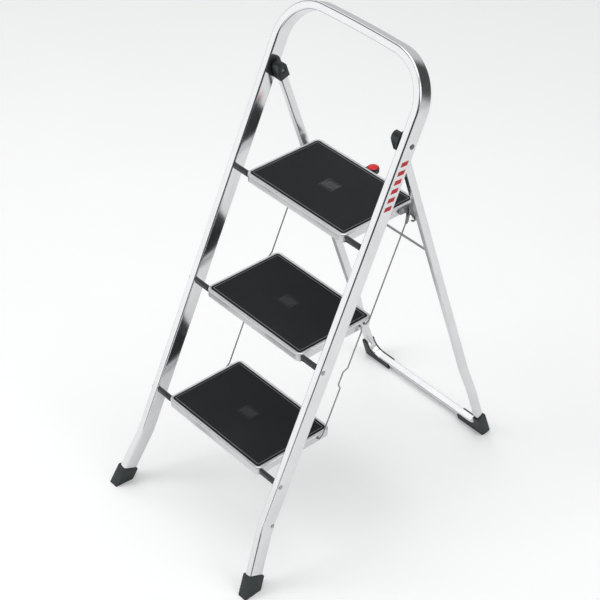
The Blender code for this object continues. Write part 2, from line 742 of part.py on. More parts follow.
def build_hook_plate(side):
    """Steel plate on the side of the top tread that sits on the leg stud."""
    top = STUD_Z + STUD_R + GAP
    pts = [(138.0, 7.5), (181.0, 7.5), (184.5, 4.0), (184.5, -12.0), (186.0, -24.0), (185.0, -29.0),
           (182.0, -29.0), (181.0, top / MM - 2.0), (180.0, top / MM), (171.5, top / MM), (166.8, -16.5),
           (163.2, -32.0), (160.5, -35.8), (156.5, -35.8), (154.6, -33.0), (157.6, -18.0), (157.0, -7.5),
           (141.0, -6.5), (136.0, -2.0), (136.0, 5.5)]
    loop = [(y * MM, z * MM) for y, z in pts]
    mid = side * (HOOK_X0 + HOOK_X1) / 2.0
    ob = slab([loop], HOOK_X1 - HOOK_X0, yz_frame(AXLES[2] + X * mid))
    as_part(ob)
    nm = "left" if side < 0 else "right"
    for k, ((dy, dz), r) in enumerate(((UP_PIVOT, WIRE_R + GAP), (BAIL_PIVOT, BAIL_R + GAP))):
        cut(ob, rod_x(side * 0.14, side * 0.16, AXLES[2] + Vector((0.0, dy, dz)), r, 12),
            "cut_plate_%s_%d" % (nm, k))
    bake(ob)
    ob = finish(ob, "hook_plate_" + nm, "steel", smooth=False)
    return set_origin(ob, AXLES[2])


def build_hook_rivet(side):
    c = AXLES[2] + Vector((0.0, 0.1465, 0.0036))
    x = HOOK_X1 + GAP
    prof = [(x + 1.7 * MM, 0.0), (x + 1.5 * MM, 1.8 * MM), (x + 0.9 * MM, 3.0 * MM), (x, 3.6 * MM), (x, 0.0)]
    ob = lathe_x([(side * a, r) for a, r in prof], c, 16)
    as_part(ob)
    ob = finish(ob, "hook_rivet_" + ("left" if side < 0 else "right"), "steel")
    return set_origin(ob, AXLES[2])


# ------------------------------------------------------------------- links
def link_points(i_top, pivot, off, side, kink):
    """Bent link between the same pivot of two treads."""
    dy, dz = pivot
    top = AXLES[i_top] + Vector((0.0, dy, dz))
    bot = AXLES[i_top - 1] + Vector((0.0, dy, dz))
    length = (top - bot).length
    x_in = side * (TREAD_W / 2.0 - WALL - 3.5 * MM)
    xw = side * WIRE_X

    def at(a, o, x=None):
        p = top - U * a + N * o
        p.x = xw if x is None else x
        return p
    pts = [at(0.0, 0.0, x_in), at(0.0, 0.0)]
    pts += [at(0.011, off)]
    if kink is not None:
        pts += [at(0.094, off), at(0.103, kink), at(0.132, kink), at(0.141, off)]
    pts += [at(length - 0.011, off), at(length, 0.0), at(length, 0.0, x_in)]
    return rounded_path(pts, 2.1 * MM, 3)


def build_link(which, side):
    if which == "upper":
        pts, i = link_points(2, UP_PIVOT, UP_OFF, side, None), 2
        piv = AXLES[2] + Vector((0.0, *UP_PIVOT))
    else:
        pts, i = link_points(1, LP_PIVOT, LP_OFF, side, LP_KINK), 1
        piv = AXLES[1] + Vector((0.0, *LP_PIVOT))
    ob = wire(pts, WIRE_R, 2)
    as_part(ob)
    ob = finish(ob, "link_wire_%s_%s" % (which, "left" if side < 0 else "right"), "steel")
    return set_origin(ob, piv)


# -------------------------------------------------------------------- lock
LOCK = AXLES[2] + Vector((0.0, *BAIL_PIVOT))


def build_bail():
    """Rod across the tread with a hook at each end that wraps the stud."""
    def loc(x, dy, dz):
        return AXLES[2] + Vector((x, dy * MM, dz * MM))
    xj = 152.3 * MM
    arm = [(xj, 178.0, -3.0), (xj, 184.0, -14.0), (xj, 185.0, -24.0), (xj, 182.0, -32.5),
           (xj, 174.5, -35.0), (xj, 169.0, -31.5)]
    right = [loc(*p) for p in arm]
    left = [Vector((-p.x, p.y, p.z)) for p in right]
    pts = rounded_path(left[::-1] + right, 3.5 * MM, 3)
    ob = wire(pts, BAIL_R, 2)
    as_part(ob)
    ob = finish(ob, "lock_bail", "steel")
    return set_origin(ob, LOCK)


def build_lever():
    """Plastic thumb lever: a neck through the skirt and a D-shaped paddle."""
    n = 14
    rad = LEVER_R
    cy = LEVER_Y
    side = [(8.0 * MM, 172.5 * MM), (8.0 * MM, cy - 14.2 * MM), (13.9 * MM, cy - 9.6 * MM), (13.7 * MM, cy - 4.5 * MM)]
    loop = list(side)
    for k in range(n + 1):
        a = math.radians(180.0 * k / n)
        loop.append((rad * math.cos(a), cy + rad * math.sin(a)))
    loop += [(-x, y) for x, y in side[::-1]]
    base = slab([loop], 7.6 * MM, tread_frame(2, -3.0 * MM))
    round_edges(base, 0.9 * MM, 1, 45.0)
    bake(base)
    weld(base.data)
    as_part(base)
    pad = [(rad * 0.93 * math.cos(2 * math.pi * k / 20), cy + rad * 0.93 * math.sin(2 * math.pi * k / 20))
           for k in range(20)]
    boss = slab([pad], 7.2 * MM, tread_frame(2, -0.4 * MM))
    cut(base, boss, "add_lever_boss", "UNION")
    cut(base, rod_x(-0.02, 0.02, LOCK, BAIL_R + GAP, 12), "cut_lever_rod")
    bake(base)
    weld(base.data)
    ob = finish(base, "lock_lever", "plastic")
    return set_origin(ob, LOCK)


def build_lock_disc():
    """Crowned round button on the paddle."""
    c = AXLES[2] + Vector((0.0, LEVER_Y, 3.2 * MM + GAP))
    prof = [(0.0, 3.0), (4.2, 2.8), (7.6, 2.15), (9.9, 1.2), (11.0, 0.3), (11.0, 0.0), (0.0, 0.0)]
    n = 24
    bm = bmesh.new()
    rings = []
    for r, z in prof:
        if r == 0.0:
            rings.append([bm.verts.new(c + Vector((0.0, 0.0, z * MM)))])
        else:
            rings.append([bm.verts.new(c + Vector((r * MM * math.cos(2 * math.pi * k / n),
                                                   r * MM * math.sin(2 * math.pi * k / n), z * MM)))
                          for k in range(n)])
    for a, b in zip(rings, rings[1:]):
        for k in range(n):
            j = (k + 1) % n
            if len(a) == 1:
                bm.faces.new((a[0], b[k], b[j]))
            elif len(b) == 1:
                bm.faces.new((a[k], b[0], a[j]))
            else:
                bm.faces.new((a[k], b[k], b[j], a[j]))
    bmesh.ops.recalc_face_normals(bm, faces=bm.faces)
    me = bpy.data.meshes.new("disc")
    bm.to_mesh(me)
    bm.free()
    ob = bpy.data.objects.new("disc", me)
    bpy.context.scene.collection.objects.link(ob)
    as_part(ob)
    ob = finish(ob, "lock_disc", "red")
    return set_origin(ob, LOCK)


def build_spring():
    """Torsion spring wound on the bail beside the lever."""
    r = BAIL_R + GAP + 0.6 * MM
    turns, per = 5, 12
    pts = []
    for k in range(turns * per + 1):
        a = 2.0 * math.pi * k / per
        pts.append(LOCK + Vector((10.0 * MM + 1.5 * MM * k / per, r * math.cos(a), r * math.sin(a))))
    pts.append(LOCK + Vector((17.5 * MM, 4.4 * MM, 5.5 * MM)))
    ob = wire(pts, 0.5 * MM, 1)
    as_part(ob)
    ob = finish(ob, "lock_spring", "steel")
    return set_origin(ob, LOCK)


LABELS = ["bottom", "middle", "top"]

build_front_frame()
for side in (-1, 1):
    build_front_foot(side)
    build_hinge_bracket(side)
    build_hinge_pin(side)
    build_rail_rivet(side)
for i, label in enumerate(LABELS):
    build_axle(i, label)
    for side in (-1, 1):
        build_sleeve(i, label, side)
build_rear_frame()
build_cross_rod()
for side in (-1, 1):
    build_stud(side)
    build_hinge_cap(side)
    build_rear_foot(side)
for i, label in enumerate(LABELS):
    build_tray(i, label)
    build_mat(i, label)
for side in (-1, 1):
    build_hook_plate(side)
    build_hook_rivet(side)
    build_link("upper", side)
    build_link("lower", side)
build_bail()
build_lever()
build_lock_disc()
build_spring()

for ob in list(bpy.context.scene.collection.objects):
    bpy.context.scene.collection.objects.unlink(ob)
bpy.context.view_layer.update()
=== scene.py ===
import math

import bpy
import bmesh
import numpy as np
from mathutils import Matrix, Vector


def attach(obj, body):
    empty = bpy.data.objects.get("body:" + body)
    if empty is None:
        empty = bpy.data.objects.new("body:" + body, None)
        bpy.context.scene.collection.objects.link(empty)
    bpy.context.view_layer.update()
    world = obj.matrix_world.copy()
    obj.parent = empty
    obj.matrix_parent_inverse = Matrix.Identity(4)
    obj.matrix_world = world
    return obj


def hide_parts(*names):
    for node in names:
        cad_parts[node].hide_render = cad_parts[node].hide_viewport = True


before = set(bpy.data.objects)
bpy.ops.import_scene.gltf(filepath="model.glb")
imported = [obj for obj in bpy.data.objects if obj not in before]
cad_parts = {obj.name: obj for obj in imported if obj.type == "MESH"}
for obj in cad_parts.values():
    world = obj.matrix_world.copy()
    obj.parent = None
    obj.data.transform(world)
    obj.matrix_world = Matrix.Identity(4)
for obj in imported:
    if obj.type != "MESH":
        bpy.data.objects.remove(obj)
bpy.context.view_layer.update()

# ------------------------------------------------------------------ sizes
MM = 0.001
Y_SHIFT = -0.3728
ALPHA = math.radians(64.7)
FRAME_W, TUBE_A, TUBE_B = 0.416, 0.0185, 0.0345
FRAME_LEN, CROWN_R, CROWN_SAG = 1.158, 0.106, 0.0015
SPLAY, S_BEND, FOOT_S, FOOT_TOP = 0.022, 0.150, 0.020, 0.049
BETA = math.radians(72.1)
REAR_W, REAR_A, REAR_B, REAR_JOG, REAR_CORNER_R = 0.360, 0.0143, 0.0175, 0.0075, 0.042
HINGE_S, HINGE_T = 0.993, 0.0205
AXLE_S, AXLE_T = [0.2522, 0.5122, 0.7722], 0.007
TREAD_W, TREAD_Y0, TREAD_Y1 = 0.295, -0.009, 0.187
RIM_Z, SKIRT_Z, TREAD_R = 0.011, -0.008, 0.013
GAP = 0.0003
UP_PIVOT, LP_PIVOT = (0.163, 0.003), (0.1515, 0.0025)
UP_OFF, LP_OFF, LP_KINK = 0.0056, 0.0054, -0.004
BAIL_PIVOT = (0.178, -0.003)
STUD_Y, STUD_Z, STUD_R = 0.1763, -0.0266, 0.0036
CROSS_ROD_L = 0.3265
WIRE_X = 0.152

X = Vector((1.0, 0.0, 0.0))
U = Vector((0.0, math.cos(ALPHA), math.sin(ALPHA)))
N = Vector((0.0, math.sin(ALPHA), -math.cos(ALPHA)))
D = Vector((0.0, math.cos(BETA), -math.sin(BETA)))
E = Vector((0.0, math.sin(BETA), math.cos(BETA)))
ORG = Vector((0.0, 0.0031 + Y_SHIFT, 0.0))


def rail(s, t, x=0.0):
    return ORG + U * s + N * t + X * x


HINGE = rail(HINGE_S, HINGE_T)
AXLES = [rail(s, AXLE_T) for s in AXLE_S]
LEG_LEN = HINGE.z / math.sin(BETA)


def leg(length, n, x=0.0):
    return HINGE + D * length + E * n + X * x


LABELS = ["bottom", "middle", "top"]
SIDES = ((-1, "left"), (1, "right"))
scene = bpy.context.scene

# ------------------------------------------------------------------ camera
cam_data = bpy.data.cameras.new("camera")
cam_data.sensor_width = 36.0
cam_data.lens = 1804.88 / 600.0 * 36.0
cam_data.clip_start = 0.05
cam_data.clip_end = 60.0
camera = bpy.data.objects.new("camera", cam_data)
scene.collection.objects.link(camera)
camera.location = (2.2216, -1.9320, 2.7095)
yaw, pitch, roll = math.radians(49.346), math.radians(-37.548), math.radians(-0.188)
look = Vector((-math.sin(yaw) * math.cos(pitch), math.cos(yaw) * math.cos(pitch), math.sin(pitch)))
right = Vector((math.cos(yaw), math.sin(yaw), 0.0))
up = right.cross(look)
cx = right * math.cos(roll) + up * math.sin(roll)
cy = up * math.cos(roll) - right * math.sin(roll)
camera.rotation_euler = Matrix((cx, cy, -look)).transposed().to_euler()
scene.camera = camera


# --------------------------------------------------------------- materials
class Nodes:
    """Small helper round one material's node tree."""

    def __init__(self, name, colour, metallic, rough, specular=0.5):
        self.mat = bpy.data.materials.new(name)
        self.mat.use_nodes = True
        self.nt = self.mat.node_tree
        self.bsdf = self.nt.nodes["Principled BSDF"]
        self.bsdf.inputs["Base Color"].default_value = (*colour, 1.0)
        self.bsdf.inputs["Metallic"].default_value = metallic
        self.bsdf.inputs["Roughness"].default_value = rough
        self.bsdf.inputs["Specular IOR Level"].default_value = specular
        self.mat.diffuse_color = (*colour, 1.0)
        self.bump_out = None

    def add(self, kind, **props):
        n = self.nt.nodes.new(kind)
        for k, v in props.items():
            setattr(n, k, v)
        return n

    def link(self, a, b):
        self.nt.links.new(a, b)

    def coords(self, kind="Object", scale=(1, 1, 1), rotation=(0, 0, 0)):
        tc = self.add("ShaderNodeTexCoord")
        mp = self.add("ShaderNodeMapping")
        mp.inputs["Scale"].default_value = scale
        mp.inputs["Rotation"].default_value = rotation
        self.link(tc.outputs[kind], mp.inputs["Vector"])
        return mp.outputs["Vector"]

    def noise(self, vec, scale, detail=4.0, rough=0.55, distortion=0.0):
        n = self.add("ShaderNodeTexNoise")
        n.inputs["Scale"].default_value = scale
        n.inputs["Detail"].default_value = detail
        n.inputs["Roughness"].default_value = rough
        n.inputs["Distortion"].default_value = distortion
        self.link(vec, n.inputs["Vector"])
        return n.outputs["Fac"]

    def remap(self, value, lo, hi, a, b):
        n = self.add("ShaderNodeMapRange")
        n.clamp = True
        n.inputs["From Min"].default_value = lo
        n.inputs["From Max"].default_value = hi
        n.inputs["To Min"].default_value = a
        n.inputs["To Max"].default_value = b
        self.link(value, n.inputs["Value"])
        return n.outputs["Result"]

    def math(self, op, a, b):
        n = self.add("ShaderNodeMath", operation=op)
        self.link(a, n.inputs[0])
        if isinstance(b, (int, float)):
            n.inputs[1].default_value = b
        else:
            self.link(b, n.inputs[1])
        return n.outputs[0]

    def ramp(self, value, stops):
        n = self.add("ShaderNodeValToRGB")
        el = n.color_ramp.elements
        while len(el) < len(stops):
            el.new(0.5)
        for e, (p, c) in zip(el, stops):
            e.position = p
            e.color = (*c, 1.0)
        self.link(value, n.inputs["Fac"])
        return n.outputs["Color"]

    def bump(self, height, strength, distance):
        n = self.add("ShaderNodeBump")
        n.inputs["Strength"].default_value = strength
        n.inputs["Distance"].default_value = distance
        self.link(height, n.inputs["Height"])
        if self.bump_out is not None:
            self.link(self.bump_out, n.inputs["Normal"])
        self.bump_out = n.outputs["Normal"]
        self.link(self.bump_out, self.bsdf.inputs["Normal"])


def grey(v, tint=(1.0, 1.0, 1.02)):
    return tuple(v * t for t in tint)


def tube_metal(name, tone, r0, r1, smudge=0.10):
    """Drawn aluminium: fine lines along the tube (UV in metres), with
    cloudy smudges and the odd deeper scratch."""
    m = Nodes(name, grey(tone), 1.0, r0)
    streak = m.noise(m.coords("UV", (5.0, 1500.0, 1.0)), 1.0, 5.0, 0.6)
    fine = m.noise(m.coords("UV", (26.0, 5200.0, 1.0)), 1.0, 2.0, 0.5)
    cloud = m.noise(m.coords("Object"), 16.0, 3.0, 0.5, 0.6)
    rough = m.remap(streak, 0.3, 0.7, r0, r1)
    rough = m.math("ADD", rough, m.remap(cloud, 0.42, 0.75, 0.0, smudge))
    m.link(rough, m.bsdf.inputs["Roughness"])
    mixed = m.math("ADD", m.math("MULTIPLY", streak, 0.6), m.math("MULTIPLY", cloud, 0.4))
    m.link(m.ramp(mixed, [(0.30, grey(tone * 0.90)), (0.50, grey(tone)), (0.72, grey(min(1.0, tone * 1.06)))]),
           m.bsdf.inputs["Base Color"])
    m.bump(m.math("ADD", streak, m.math("MULTIPLY", fine, 0.5)), 0.10, 0.00006)
    scratch = m.noise(m.coords("Object", (60.0, 60.0, 60.0), (0.4, 0.9, 0.2)), 1.0, 1.0, 0.5, 2.5)
    m.bump(m.remap(scratch, 0.70, 0.74, 0.0, 1.0), 0.12, 0.00003)
    m.bsdf.inputs["Anisotropic"].default_value = 0.25
    return m.mat


def sheet_metal(name, tone, r0, r1, grain=900.0):
    """Pressed, satin anodised sheet."""
    m = Nodes(name, grey(tone), 1.0, r0)
    vec = m.coords("Object")
    fine = m.noise(vec, grain, 3.0, 0.6)
    cloud = m.noise(vec, 22.0, 4.0, 0.55, 0.4)
    brushed = m.noise(m.coords("Object", (30.0, 1400.0, 1400.0)), 1.0, 3.0, 0.5)
    rough = m.math("ADD", m.remap(brushed, 0.3, 0.7, r0, r1), m.remap(cloud, 0.40, 0.72, 0.0, 0.10))
    m.link(rough, m.bsdf.inputs["Roughness"])
    mixed = m.math("ADD", m.math("MULTIPLY", brushed, 0.5), m.math("MULTIPLY", cloud, 0.5))
    m.link(m.ramp(mixed, [(0.30, grey(tone * 0.90)), (0.50, grey(tone)), (0.72, grey(min(1.0, tone * 1.06)))]),
           m.bsdf.inputs["Base Color"])
    m.bump(m.math("ADD", fine, brushed), 0.12, 0.00005)
    return m.mat


def zinc(name, tone, r0, r1):
    """Bright zinc plating with its small crystal flowers."""
    m = Nodes(name, grey(tone), 1.0, r0)
    vec = m.coords("Object")
    vor = m.add("ShaderNodeTexVoronoi", feature="F1")
    vor.inputs["Scale"].default_value = 700.0
    m.link(vec, vor.inputs["Vector"])
    cloud = m.noise(vec, 160.0, 3.0, 0.55)
    sep = m.add("ShaderNodeSeparateColor")
    m.link(vor.outputs["Color"], sep.inputs["Color"])
    m.link(m.remap(sep.outputs["Red"], 0.0, 1.0, r0, r1), m.bsdf.inputs["Roughness"])
    mixed = m.math("ADD", m.math("MULTIPLY", sep.outputs["Green"], 0.35), m.math("MULTIPLY", cloud, 0.65))
    m.link(m.ramp(mixed, [(0.15, grey(tone * 0.78, (1.0, 1.0, 1.04))), (0.5, grey(tone)),
                          (0.85, grey(min(1.0, tone * 1.15), (1.02, 1.0, 0.97)))]), m.bsdf.inputs["Base Color"])
    m.bump(cloud, 0.15, 0.00006)
    return m.mat


def moulded(name, colour, r0, r1, grain=1100.0, depth=0.00008, strength=0.35, specular=0.5):
    """Moulded plastic with a fine spark-eroded grain."""
    m = Nodes(name, colour, 0.0, r0, specular)
    vec = m.coords("Object")
    fine = m.noise(vec, grain, 2.0, 0.5)
    cloud = m.noise(vec, 45.0, 4.0, 0.6)
    m.link(m.remap(cloud, 0.3, 0.7, r0, r1), m.bsdf.inputs["Roughness"])
    m.link(m.ramp(cloud, [(0.3, tuple(c * 0.80 for c in colour)), (0.5, colour),
                          (0.72, tuple(min(1.0, c * 1.30 + 0.002) for c in colour))]), m.bsdf.inputs["Base Color"])
    m.bump(fine, strength, depth)
    return m.mat


def rubber(name, dark, pale, specular=0.4, grain=850.0):
    """Ground rubber sheet: pale specks in a dark body and a pebbled skin."""
    m = Nodes(name, dark, 0.0, 0.62, specular)
    vec = m.coords("Object")
    fine = m.noise(vec, grain, 3.0, 0.65)
    cloud = m.noise(vec, 14.0, 5.0, 0.6, 0.3)
    vor = m.add("ShaderNodeTexVoronoi", feature="F1")
    vor.inputs["Scale"].default_value = 620.0
    m.link(vec, vor.inputs["Vector"])
    mixed = m.math("ADD", m.math("MULTIPLY", fine, 0.6), m.math("MULTIPLY", cloud, 0.4))
    m.link(m.ramp(mixed, [(0.36, tuple(c * 0.82 for c in dark)), (0.50, dark), (0.66, pale)]),
           m.bsdf.inputs["Base Color"])
    m.link(m.remap(cloud, 0.3, 0.7, 0.50, 0.68), m.bsdf.inputs["Roughness"])
    m.bump(vor.outputs["Distance"], 0.22, 0.00018)
    m.bump(fine, 0.25, 0.0001)
    return m.mat


MAT = {
    "tube": tube_metal("rail_aluminium", 0.85, 0.10, 0.19),
    "rear": tube_metal("leg_aluminium", 0.84, 0.13, 0.23),
    "bore": sheet_metal("tube_inside", 0.55, 0.35, 0.5),
    "tray": sheet_metal("tread_aluminium", 0.77, 0.22, 0.34),
    "rivet": zinc("rivet_zinc", 0.46, 0.20, 0.38),
    "pin": zinc("hinge_pin_steel", 0.20, 0.20, 0.38),
    "wire": zinc("wire_zinc", 0.38, 0.30, 0.48),
    "plate": zinc("plate_zinc", 0.27, 0.30, 0.50),
    "spring": zinc("spring_steel", 0.38, 0.25, 0.40),
    "plastic": moulded("black_plastic", (0.018, 0.0235, 0.0255), 0.30, 0.46),
    "sleeve": moulded("sleeve_plastic", (0.024, 0.027, 0.029), 0.26, 0.40, 700.0),
    "foot": moulded("foot_plastic", (0.021, 0.028, 0.030), 0.42, 0.60, 900.0, 0.0001, 0.5),
    "mat": rubber("mat_rubber", (0.0120, 0.0130, 0.0145), (0.024, 0.026, 0.028), 0.18),
    "line": rubber("mat_line_rubber", (0.20, 0.208, 0.214), (0.28, 0.288, 0.294), 0.3),
    "patch": rubber("mat_patch_print", (0.085, 0.091, 0.095), (0.13, 0.137, 0.141), 0.25),
    # darker copy of the same patch print for the lower treads: painted shade, as they sit under the treads above
    "patch_painted_shade": rubber("mat_patch_print_painted_shade", (0.045, 0.049, 0.051), (0.070, 0.075, 0.078), 0.25),
    "red": moulded("red_plastic", (0.56, 0.009, 0.012), 0.22, 0.36, 1400.0, 0.00004, 0.2),
    "print": moulded("red_print", (0.60, 0.010, 0.014), 0.34, 0.48, 1800.0, 0.00003, 0.2),
}


# ---------------------------------------------------------------- builders
def obj_from(me, name):
    ob = bpy.data.objects.new(name, me)
    scene.collection.objects.link(ob)
    return ob


def weld(me, dist=0.00001):
    bm = bmesh.new()
    bm.from_mesh(me)
    bmesh.ops.remove_doubles(bm, verts=bm.verts, dist=dist)
    bmesh.ops.recalc_face_normals(bm, faces=bm.faces)
    bm.to_mesh(me)
    bm.free()


def bake(ob):
    bpy.context.view_layer.update()
    dg = bpy.context.evaluated_depsgraph_get()
    me = bpy.data.meshes.new_from_object(ob.evaluated_get(dg))
    ob.modifiers.clear()
    ob.data = me
    return ob


def shade(ob, angle=32.0):
    me = ob.data
    me.shade_smooth()
    me.set_sharp_from_angle(angle=math.radians(angle))
    return ob


def flat_frame(origin, u, v):
    u, v = Vector(u).normalized(), Vector(v).normalized()
    m = Matrix((u, v, u.cross(v))).transposed().to_4x4()
    m.translation = Vector(origin)
    return m


def slab(loops, thickness, mat):
    cu = bpy.data.curves.new("slab", "CURVE")
    cu.dimensions = "2D"
    cu.fill_mode = "BOTH"
    cu.extrude = thickness / 2.0
    for pts in loops:
        sp = cu.splines.new("POLY")
        sp.points.add(len(pts) - 1)
        for p, (a, b) in zip(sp.points, pts):
            p.co = (a, b, 0.0, 1.0)
        sp.use_cyclic_u = True
    ob = bpy.data.objects.new("slab", cu)
    scene.collection.objects.link(ob)
    bpy.context.view_layer.update()
    dg = bpy.context.evaluated_depsgraph_get()
    me = bpy.data.meshes.new_from_object(ob.evaluated_get(dg))
    bpy.data.objects.remove(ob, do_unlink=True)
    me.transform(mat)
    weld(me)
    return obj_from(me, "slab_m")


def wire(points, radius, resolution=5, smooth=True):
    cu = bpy.data.curves.new("wire", "CURVE")
    cu.dimensions = "3D"
    cu.bevel_depth = radius
    cu.bevel_resolution = resolution
    cu.use_fill_caps = True
    sp = cu.splines.new("POLY")
    sp.points.add(len(points) - 1)
    for p, q in zip(sp.points, points):
        p.co = (*q, 1.0)
    ob = bpy.data.objects.new("wire", cu)
    scene.collection.objects.link(ob)
    bpy.context.view_layer.update()
    dg = bpy.context.evaluated_depsgraph_get()
    me = bpy.data.meshes.new_from_object(ob.evaluated_get(dg))
    bpy.data.objects.remove(ob, do_unlink=True)
    weld(me)
    ob = obj_from(me, "wire_m")
    round_edges(ob, radius * 0.35, 2, 60.0)
    bake(ob)
    return shade(ob, 50.0)


def rounded_path(points, radius, steps=10):
    pts = [Vector(p) for p in points]
    out = [pts[0]]
    for a, b, c in zip(pts, pts[1:], pts[2:]):
        d1, d2 = (a - b).normalized(), (c - b).normalized()
        ang = d1.angle(d2)
        if abs(ang - math.pi) < 0.01:
            out.append(b)
            continue
        cutl = min(radius / math.tan(ang / 2.0), 0.48 * (a - b).length, 0.48 * (c - b).length)
        r = cutl * math.tan(ang / 2.0)
        centre = b + (d1 + d2).normalized() * (r / math.sin(ang / 2.0))
        v1, v2 = b + d1 * cutl - centre, b + d2 * cutl - centre
        tot = v1.angle(v2)
        for k in range(steps + 1):
            f = k / steps
            out.append(centre + (v1 * math.sin((1 - f) * tot) + v2 * math.sin(f * tot)) / math.sin(tot))
    out.append(pts[-1])
    return out


def rounded_rect(x0, x1, y0, y1, r, steps=8):
    pts = []
    for ax, ay, a0 in ((x1 - r, y0 + r, -90), (x1 - r, y1 - r, 0), (x0 + r, y1 - r, 90), (x0 + r, y0 + r, 180)):
        for k in range(steps + 1):
            a = math.radians(a0 + 90.0 * k / steps)
            pts.append((ax + r * math.cos(a), ay + r * math.sin(a)))
    return pts


def strip(centre, width):
    c = np.array(centre, float)
    seg = c[1:] - c[:-1]
    seg /= np.linalg.norm(seg, axis=1)[:, None]
    nrm = np.stack([-seg[:, 1], seg[:, 0]], axis=1)
    left, right_ = [], []
    for i in range(len(c)):
        if i == 0:
            m, k = nrm[0], 1.0
        elif i == len(c) - 1:
            m, k = nrm[-1], 1.0
        else:
            m = nrm[i - 1] + nrm[i]
            m /= np.linalg.norm(m)
            k = 1.0 / float(np.dot(m, nrm[i]))
        left.append(tuple(c[i] + m * k * width / 2.0))
        right_.append(tuple(c[i] - m * k * width / 2.0))
    return left + right_[::-1]


def lathe(profile, centre, segs=48, angle=30.0):
    """Turned shape about X through centre; profile is (x, r), open ends
    with r = 0 close on the axis."""
    bm = bmesh.new()
    rings = []
    for x, r in profile:
        if r < 1e-7:
            rings.append([bm.verts.new((x, centre.y, centre.z))])
        else:
            rings.append([bm.verts.new((x, centre.y + r * math.cos(2 * math.pi * k / segs),
                                        centre.z + r * math.sin(2 * math.pi * k / segs))) for k in range(segs)])
    for a, b in zip(rings, rings[1:]):
        for k in range(segs):
            j = (k + 1) % segs
            if len(a) == 1 and len(b) > 1:
                bm.faces.new((a[0], b[k], b[j]))
            elif len(b) == 1 and len(a) > 1:
                bm.faces.new((a[k], a[j], b[0]))
            elif len(a) > 1:
                bm.faces.new((a[k], a[j], b[j], b[k]))
    if len(rings[0]) > 1 and len(rings[-1]) > 1:      # hollow: the last ring joins the first
        bmesh.ops.remove_doubles(bm, verts=bm.verts, dist=0.000005)
    bmesh.ops.recalc_face_normals(bm, faces=bm.faces)
    me = bpy.data.meshes.new("lathe")
    bm.to_mesh(me)
    bm.free()
    return shade(obj_from(me, "lathe"), angle)


def dome(x, sgn, r, h, neck, neck_r, steps=8, dimple=0.0):
    """Profile of a domed head that starts at x and rises by h, ends at the axis."""
    pts = [(neck, 0.0), (neck, neck_r), (x, neck_r), (x, r * 0.97), (x + sgn * h * 0.06, r)]
    for k in range(1, steps):
        a = math.pi / 2.0 * k / steps
        pts.append((x + sgn * h * (0.10 + 0.90 * math.sin(a)), r * math.cos(a) ** 0.9))
    if dimple > 0.0:
        q = [p for p in pts if p[1] > dimple]
        pts = pts[:1] + q + [(x + sgn * h * 0.93, dimple), (x + sgn * h * 0.70, dimple * 0.55), (x + sgn * h * 0.62, 0.0)]
    else:
        pts.append((x + sgn * h, 0.0))
    return pts


def round_edges(ob, width, segments=3, angle=40.0):
    m = ob.modifiers.new("edge", "BEVEL")
    m.width = width
    m.segments = segments
    m.limit_method = "ANGLE"
    m.angle_limit = math.radians(angle)
    m.use_clamp_overlap = True
    return ob


def cut(ob, cutter, op="DIFFERENCE"):
    cutter.hide_render = True
    m = ob.modifiers.new("cut", "BOOLEAN")
    m.operation = op
    m.solver = "EXACT"
    m.object = cutter
    bake(ob)
    bpy.data.objects.remove(cutter, do_unlink=True)
    weld(ob.data)
    return ob


def rod(x0, x1, centre, radius, segs=32):
    return lathe([(x0, 0.0), (x0, radius), (x1, radius), (x1, 0.0)], centre, segs)


def block(size, centre, rot_x=0.0):
    bpy.ops.mesh.primitive_cube_add(size=1.0)
    ob = bpy.context.object
    ob.data.transform(Matrix.Translation(Vector(centre)) @ Matrix.Rotation(rot_x, 4, "X")
                      @ Matrix.Diagonal((*size, 1.0)))
    return ob


def join(obs):
    """Several closed shells as one object."""
    bm = bmesh.new()
    for o in obs:
        o.data.transform(o.matrix_world)
        bm.from_mesh(o.data)
    me = bpy.data.meshes.new("joined")
    bm.to_mesh(me)
    bm.free()
    for o in obs:
        bpy.data.objects.remove(o, do_unlink=True)
    return obj_from(me, "joined")


def piece(ob, name, body, mat, slot, *nodes):
    ob.name = name
    ob.data.name = name
    if mat is not None:
        ob.data.materials.clear()
        ob.data.materials.append(MAT[mat])
    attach(ob, body)
    if nodes:
        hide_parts(*nodes)
    return ob


